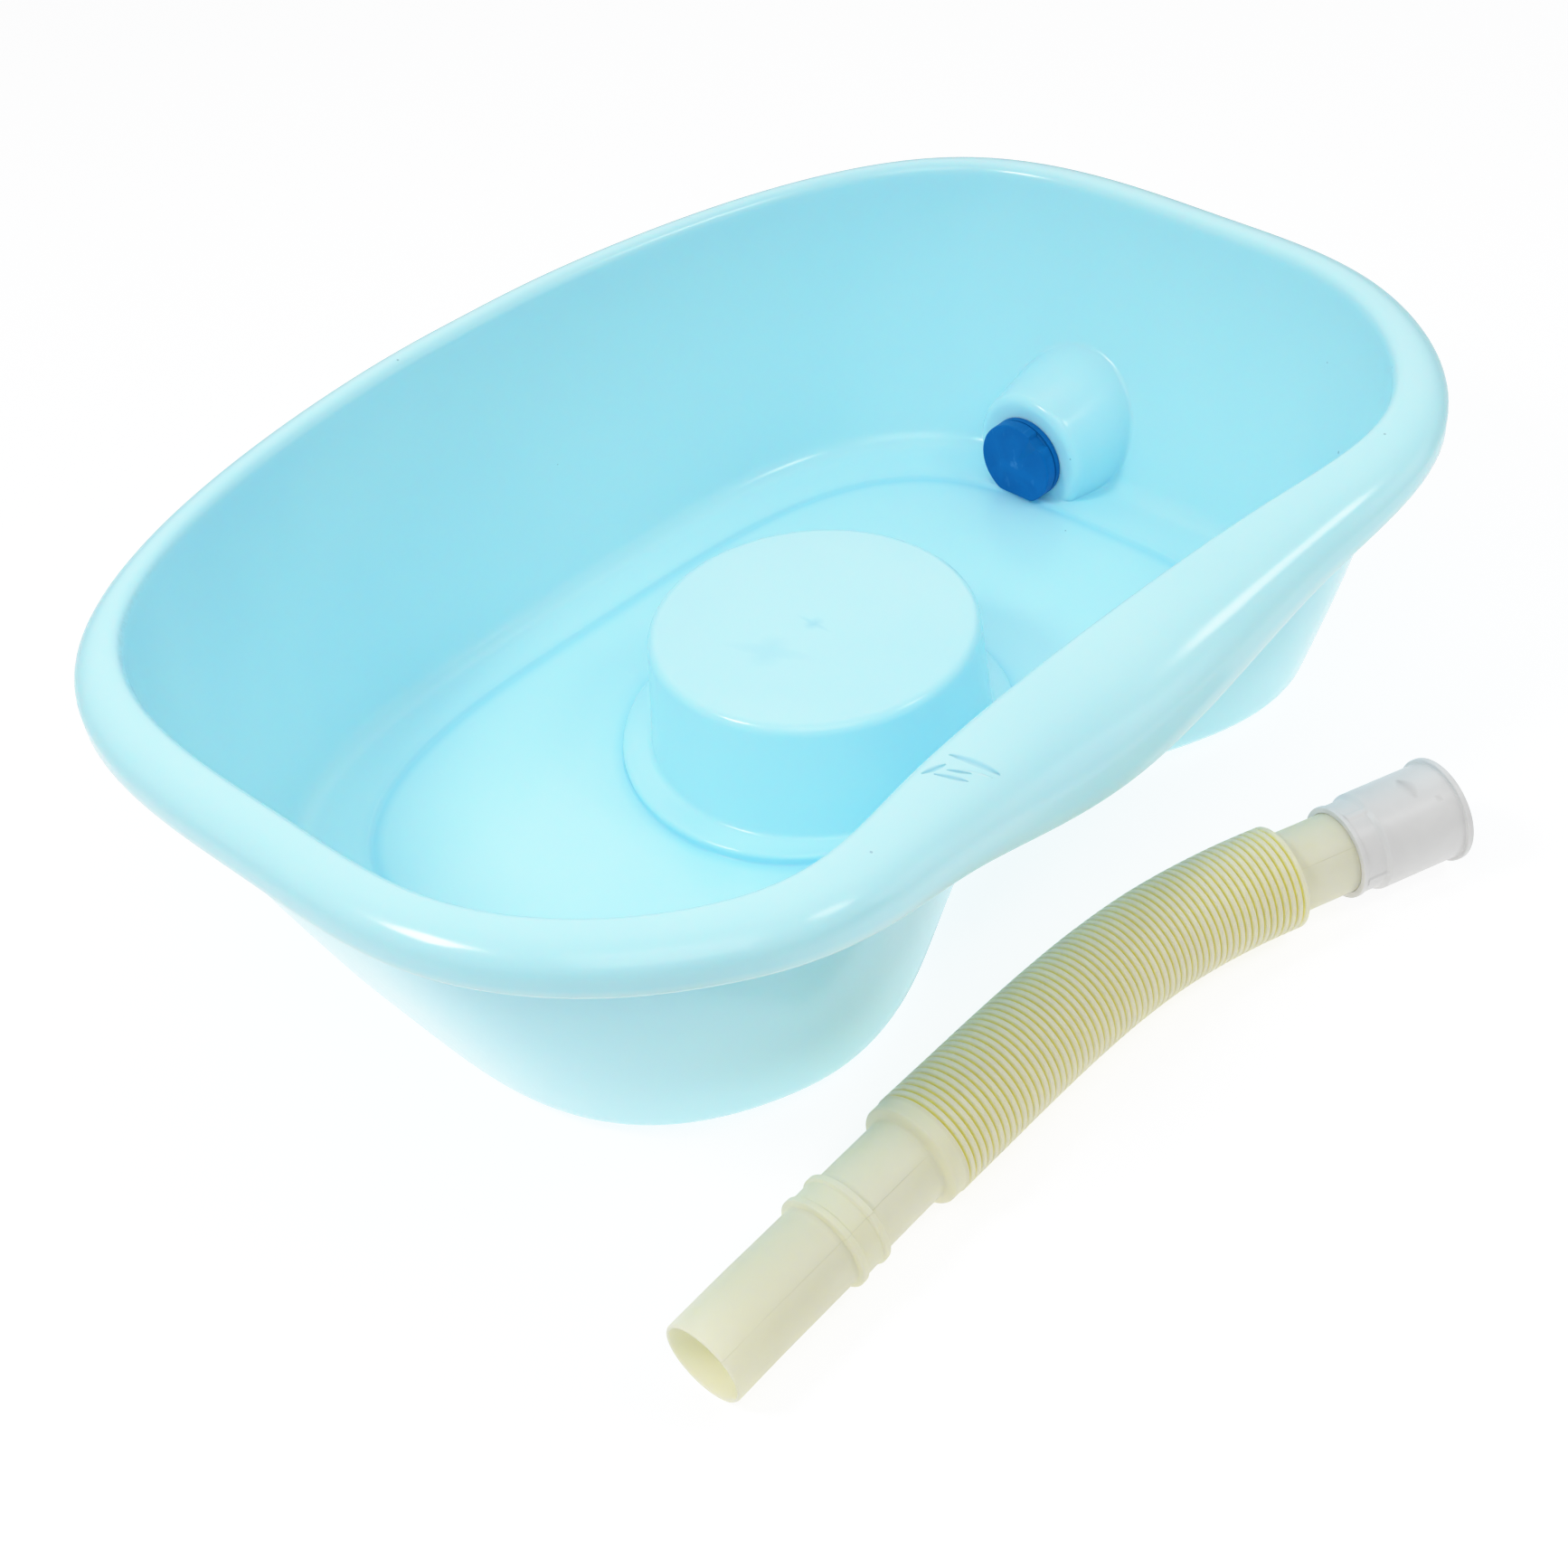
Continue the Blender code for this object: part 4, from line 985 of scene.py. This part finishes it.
# Hose: one blow moulding that lies in front of the tub, a thin wall all along. From its free end it has a
# plain cuff, two beads with a raised band between them, a smooth collar, the ribs, and a second plain cuff
# inside the adapter.
hose_route = [
    (-0.2706, -0.1992, 0.0170),
    (-0.2457, -0.1983, 0.0181),
    (-0.2307, -0.1980, 0.0187),
    (-0.2127, -0.1976, 0.0195),
    (-0.1928, -0.1969, 0.0204),
    (-0.1668, -0.1963, 0.0214),
    (-0.1308, -0.1953, 0.0215),
    (-0.1058, -0.1946, 0.0215),
    (-0.0808, -0.1944, 0.0215),
    (-0.0558, -0.1951, 0.0215),
    (-0.0310, -0.1974, 0.0215),
    (-0.0113, -0.2010, 0.0215),
    (0.0081, -0.2060, 0.0215),
    (0.0224, -0.2106, 0.0215),
    (0.0383, -0.2164, 0.0215),
    (0.0552, -0.2226, 0.0217),
    (0.0735, -0.2293, 0.0219),
]
cuff_radius = 0.0166
cuff_root_radius = 0.0170
bead_radius = 0.0190
bead_band_radius = 0.0180
bead_width = 0.004
bead_places = (0.0585, 0.0700)
collar_start = 0.1035
collar_radius = 0.0208
collar_length = 0.0085
rib_radius = 0.0212
groove_radius = 0.0194
rib_pitch = 0.00325
rib_count = 59
groove_share = 0.4
groove_floor_share, rib_flank_share = 0.08, 0.16
hose_wall = 0.0014
hose_bore_radius = cuff_radius - hose_wall
hose_around = 64
collar_rise = 0.0026
last_groove_rise = 0.0012
end_rounding = 0.0003
end_margin = 0.0008
bore_widening_length = 0.010
bore_narrowing_start, bore_narrowing_length = 0.001, 0.006
mouth_lip_outer, mouth_lip_inner = 0.0009, 0.0005
mouth_chamfer = 0.0001
radius_tolerance = 0.0001


def smooth_route(knots):
    """Points every half millimetre or so along the curve through knots whose direction at each knot is that
    of the line between its two neighbours, and the distance travelled at each."""
    knots = np.array(knots) + [0.0, centre_shift, 0.0]
    padded = np.vstack([2.0 * knots[0] - knots[1], knots, 2.0 * knots[-1] - knots[-2]])
    t = np.linspace(0.0, 1.0, 40, endpoint=False)[:, None]
    pieces = []
    for before, start, end, after in zip(padded[:-3], padded[1:-2], padded[2:-1], padded[3:]):
        leave, arrive = 0.5 * (end - before), 0.5 * (after - start)
        pieces.append(
            (2 * t ** 3 - 3 * t ** 2 + 1) * start
            + (t ** 3 - 2 * t ** 2 + t) * leave
            + (3 * t ** 2 - 2 * t ** 3) * end
            + (t ** 3 - t ** 2) * arrive
        )
    pieces.append(knots[-1:])
    line = np.vstack(pieces)
    return line, np.concatenate([[0.0], np.cumsum(np.linalg.norm(np.diff(line, axis=0), axis=1))])


route_points, route_way = smooth_route(hose_route)
hose_length = route_way[-1]


def on_route(place):
    """The route's points at these distances along it."""
    return np.stack([np.interp(place, route_way, route_points[:, axis]) for axis in range(3)], axis=-1)


def route_heading(place):
    """The route's direction at these distances, measured over 4 mm to each side."""
    reach = 0.004
    middle = np.clip(place, reach, hose_length - reach)
    run = on_route(middle + reach) - on_route(middle - reach)
    return run / np.linalg.norm(run, axis=-1, keepdims=True)


def hose_rings(places, radii):
    """Rings square to the route at these distances along it, each with its radius, from the side upwards."""
    heading = route_heading(places)
    side = np.cross(heading, [0.0, 0.0, 1.0])
    side /= np.linalg.norm(side, axis=1, keepdims=True)
    up = np.cross(side, heading)
    turn = 2.0 * np.pi * np.arange(hose_around) / hose_around
    spokes = np.cos(turn)[None, :, None] * side[:, None] + np.sin(turn)[None, :, None] * up[:, None]
    return on_route(places)[:, None] + np.asarray(radii)[:, None, None] * spokes


def soft_step(value):
    """0 below 0, 1 above 1, and a smooth cubic between."""
    value = np.clip(value, 0.0, 1.0)
    return value * value * (3.0 - 2.0 * value)


ribs_start = collar_start + collar_length
ribs_end = ribs_start + groove_share * rib_pitch + rib_count * rib_pitch
rib_steps = np.array([0.0, 0.08, 0.12, 0.16, 0.20, 0.24, 0.34, 0.5, 0.66, 0.76, 0.80, 0.84, 0.88, 0.92])


def hose_radius(place):
    """Outer radius of the hose at these distances from its free end."""
    radius = np.where(place < bead_places[0] + 0.5 * bead_width, cuff_radius, bead_band_radius)
    radius = np.where(place > bead_places[1] + 0.5 * bead_width, cuff_root_radius, radius)
    for start in bead_places:
        off = np.abs(place - start - 0.5 * bead_width) / (0.5 * bead_width)
        radius = between(radius, bead_radius, soft_step((1.0 - off) / 0.5))
    collar = soft_step((place - collar_start) / collar_rise)
    radius = np.where(place > collar_start, between(cuff_root_radius, collar_radius, collar), radius)
    along = (place - ribs_start) / rib_pitch - groove_share
    off_groove = np.abs(along - np.round(along))
    ribs = between(groove_radius, rib_radius, soft_step((off_groove - groove_floor_share) / rib_flank_share))
    radius = np.where((place > ribs_start) & (place < ribs_end), np.minimum(ribs, rib_radius), radius)
    past = soft_step((place - ribs_end) / last_groove_rise)
    return np.where(place >= ribs_end, between(groove_radius, cuff_radius, past), radius)


rib_places = ribs_start + rib_pitch * (groove_share + (np.arange(rib_count)[:, None] + rib_steps).ravel())
beads_end = bead_places[1] + bead_width
outer_places = np.concatenate(
    [
        np.linspace(end_margin, bead_places[0], 30),
        np.linspace(bead_places[0], beads_end, 72)[1:],
        np.linspace(beads_end, collar_start, 16)[1:],
        np.linspace(collar_start, collar_start + collar_rise, 8)[1:],
        np.linspace(collar_start + collar_rise, ribs_start, 6)[1:],
        ribs_start + rib_pitch * np.array([0.1, 0.16, 0.20, 0.24, 0.28, 0.32]),
        rib_places,
        ribs_end + last_groove_rise * np.linspace(0.0, 1.0, 5),
        np.linspace(ribs_end + last_groove_rise, hose_length - end_rounding, 20)[1:],
    ]
)
bore_places = np.linspace(hose_length - end_rounding, end_margin, 110)
widening = soft_step((bore_places - collar_start) / bore_widening_length)
widening = widening * soft_step((ribs_end - bore_narrowing_start - bore_places) / bore_narrowing_length)
bore_radii = hose_bore_radius + (groove_radius - cuff_radius) * widening
middle_radius = 0.5 * (cuff_radius + hose_bore_radius)
places = np.concatenate([[0.0, end_rounding], outer_places, [hose_length], bore_places, [end_rounding, 0.0]])
mouth_outside = [hose_bore_radius + mouth_lip_outer, cuff_radius - end_rounding]
mouth_inside = [hose_bore_radius + mouth_chamfer, hose_bore_radius + mouth_lip_inner]
radii = np.concatenate([mouth_outside, hose_radius(outer_places), [middle_radius], bore_radii, mouth_inside])
hose = ring_mesh("hose", hose_rings(places, radii), True)
in_ribs = (places > ribs_start) & (places < ribs_end) & (radii > groove_radius - radius_tolerance)
grooved = in_ribs * np.clip((rib_radius - radii) / (rib_radius - groove_radius), 0.0, 1.0)
plain = ((places < collar_start) | (places > ribs_end)) & (radii > middle_radius)
for name, marks in (("groove", grooved), ("plain", plain)):
    layer = hose.data.attributes.new(name, "FLOAT", "POINT")
    layer.data.foreach_set("value", np.repeat(marks.astype(float), hose_around))

hose_paint, tree, shader, place, uneven = start_plastic("hose_cream", 30.0, 260.0)
chart = add_node(tree, "UVMap", {"uv_map": "round_and_along"}, {}).outputs["UV"]
round_share = add_node(tree, "SeparateXYZ", {}, {"Vector": chart}).outputs["X"]
parting_share = 0.133
off_parting = calculate(tree, "PINGPONG", calculate(tree, "SUBTRACT", round_share, parting_share), 0.5)
off_parting = calculate(tree, "PINGPONG", off_parting, 0.25)
parting = multiply(tree, soft_range(tree, off_parting, 0.0026, 0.0006), read_attribute(tree, "plain"))
parting = multiply(tree, parting, soft_range(tree, uneven["Flow"], 0.25, 0.60))
shade = mottle(tree, uneven, 0.3, 0.7, (247, 245, 224), (250, 248, 230))
in_groove = soft_range(tree, read_attribute(tree, "groove"), 0.2, 0.7)
shade = mix_colours(tree, in_groove, shade, linear(253, 245, 156))
shade = stain(tree, shade, parting, 0.22, (196, 190, 164))
shade = stain(tree, shade, uneven["Scuffs"], 0.30, (244, 240, 228))
shade = stain(tree, shade, uneven["Specks"], 0.55, (120, 110, 80))
rough = calculate(tree, "MULTIPLY_ADD", uneven["Grain"], 0.15, 0.30)
feed(tree, shader, {"Base Color": shade, "Roughness": rough, "Subsurface Weight": 0.6})
feed(tree, shader, {"Subsurface Scale": 0.004, "Subsurface Radius": (1.0, 0.9, 0.5)})
let_light_through(tree, shader, shade, 0.4)
add_bump(tree, shader, calculate(tree, "MULTIPLY_ADD", parting, 0.4, soft_relief(tree, uneven)), 0.0003)
hose.data.materials.append(hose_paint)
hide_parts("drain_hose")
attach(hose, "tub")


# Adapter: a milky sleeve pushed on to the second cuff. It has a thin lip and a ribbed socket on the hose's
# side, and a wider mouth with a narrow flange for the tub's spout.
adapter_length = 0.050
adapter_grip = 0.018
adapter_socket_radius = 0.0186
adapter_socket_length = 0.0105
adapter_lip = 0.0006
adapter_lip_length = 0.0020
adapter_chamfer = 0.0018
adapter_body_radius = 0.0202
adapter_flange_radius = 0.0218
adapter_flange_length = 0.0024
adapter_ribs = 4
adapter_rib_turn = math.radians(5.0)
adapter_rib_width = 0.0028
adapter_rib_height = 0.0005
adapter_rib_run = 0.0005
adapter_rib_margin = 0.0002
adapter_mouth_clearance = 0.0001
adapter_end_gap = 0.0002
adapter_around = 256
socket_bore = cuff_radius + fit_gap
mouth_bore = spout_radius + fit_gap
adapter_stop = adapter_grip + fit_gap
adapter_end_radius = 0.5 * (mouth_bore + adapter_flange_radius)
adapter_profile = soften(
    [
        (adapter_end_radius, adapter_length, 0.0),
        (adapter_flange_radius, adapter_length, 0.0005),
        (adapter_flange_radius, adapter_length - adapter_flange_length, 0.0005),
        (adapter_body_radius, adapter_length - adapter_flange_length, 0.0004),
        (adapter_body_radius, 0.5 * adapter_length, 0.0),
        (adapter_body_radius, adapter_socket_length + adapter_chamfer, 0.0006),
        (adapter_socket_radius, adapter_socket_length, 0.0004),
        (adapter_socket_radius, adapter_lip_length, 0.0002),
        (adapter_socket_radius + adapter_lip, adapter_lip_length, 0.0002),
        (adapter_socket_radius + adapter_lip, 0.0, 0.0004),
        (cuff_radius + adapter_mouth_clearance, 0.0, 0.0003),
        (socket_bore, adapter_stop, 0.0002),
        (hose_bore_radius, adapter_stop, 0.0003),
        (hose_bore_radius, adapter_stop + adapter_chamfer, 0.0003),
        (mouth_bore, adapter_stop + adapter_chamfer + mouth_bore - hose_bore_radius, 0.0008),
        (mouth_bore, adapter_length, 0.0005),
        (adapter_end_radius - adapter_end_gap, adapter_length, 0.0),
    ]
)
adapter_turn = 2.0 * math.pi * np.arange(adapter_around) / adapter_around
adapter_place = on_route(hose_length - adapter_grip)
adapter_axes = np.array(Vector(route_heading(hose_length)).to_track_quat("Z", "Y").to_matrix())
off_rib = (adapter_turn - adapter_rib_turn) * adapter_ribs / (2.0 * math.pi)
off_rib = np.abs(np.mod(off_rib + 0.5, 1.0) - 0.5)
off_rib = off_rib * 2.0 * math.pi * adapter_socket_radius / adapter_ribs
rib_reach = 0.5 * adapter_rib_width + adapter_rib_margin
rib_rise = adapter_rib_height * soft_step((rib_reach - off_rib) / adapter_rib_run)
rib_end = adapter_socket_length + 0.3 * adapter_chamfer
adapter_rings = []
for radius, height in adapter_profile:
    ribbed = adapter_socket_radius - radius_tolerance < radius < adapter_socket_radius + adapter_lip
    ribbed = ribbed and adapter_lip_length <= height <= rib_end
    reach = radius + rib_rise * ribbed
    heights = np.full(adapter_around, height)
    ring = np.stack([reach * np.cos(adapter_turn), reach * np.sin(adapter_turn), heights], axis=-1)
    adapter_rings.append(adapter_place + ring @ adapter_axes.T)
adapter = ring_mesh("adapter", np.array(adapter_rings), True)

adapter_paint, tree, shader, place, uneven = start_plastic("adapter_milky", 40.0, 300.0)
shade = mottle(tree, uneven, 0.3, 0.7, (226, 225, 224), (231, 230, 229))
smudge = add_mark(tree, place, (0.0878, -0.2500, 0.0420), (0.0846, -0.2598, 0.0415), 0.0040)
small_smudge = add_mark(tree, place, (0.0905, -0.2655, 0.0400), (0.0915, -0.2680, 0.0395), 0.0022)
smudge = calculate(tree, "MAXIMUM", smudge, multiply(tree, small_smudge, 0.6))
smudge = multiply(tree, smudge, soft_range(tree, uneven["Flow"], 0.30, 0.60))
shade = stain(tree, shade, smudge, 0.55, (176, 172, 170))
rough = calculate(tree, "MULTIPLY_ADD", uneven["Grain"], 0.15, 0.28)
feed(tree, shader, {"Base Color": shade, "Roughness": rough})
let_light_through(tree, shader, shade, 0.15)
add_bump(tree, shader, soft_relief(tree, uneven), 0.0003)
adapter.data.materials.append(adapter_paint)
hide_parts("hose_adapter")
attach(adapter, "adapter")


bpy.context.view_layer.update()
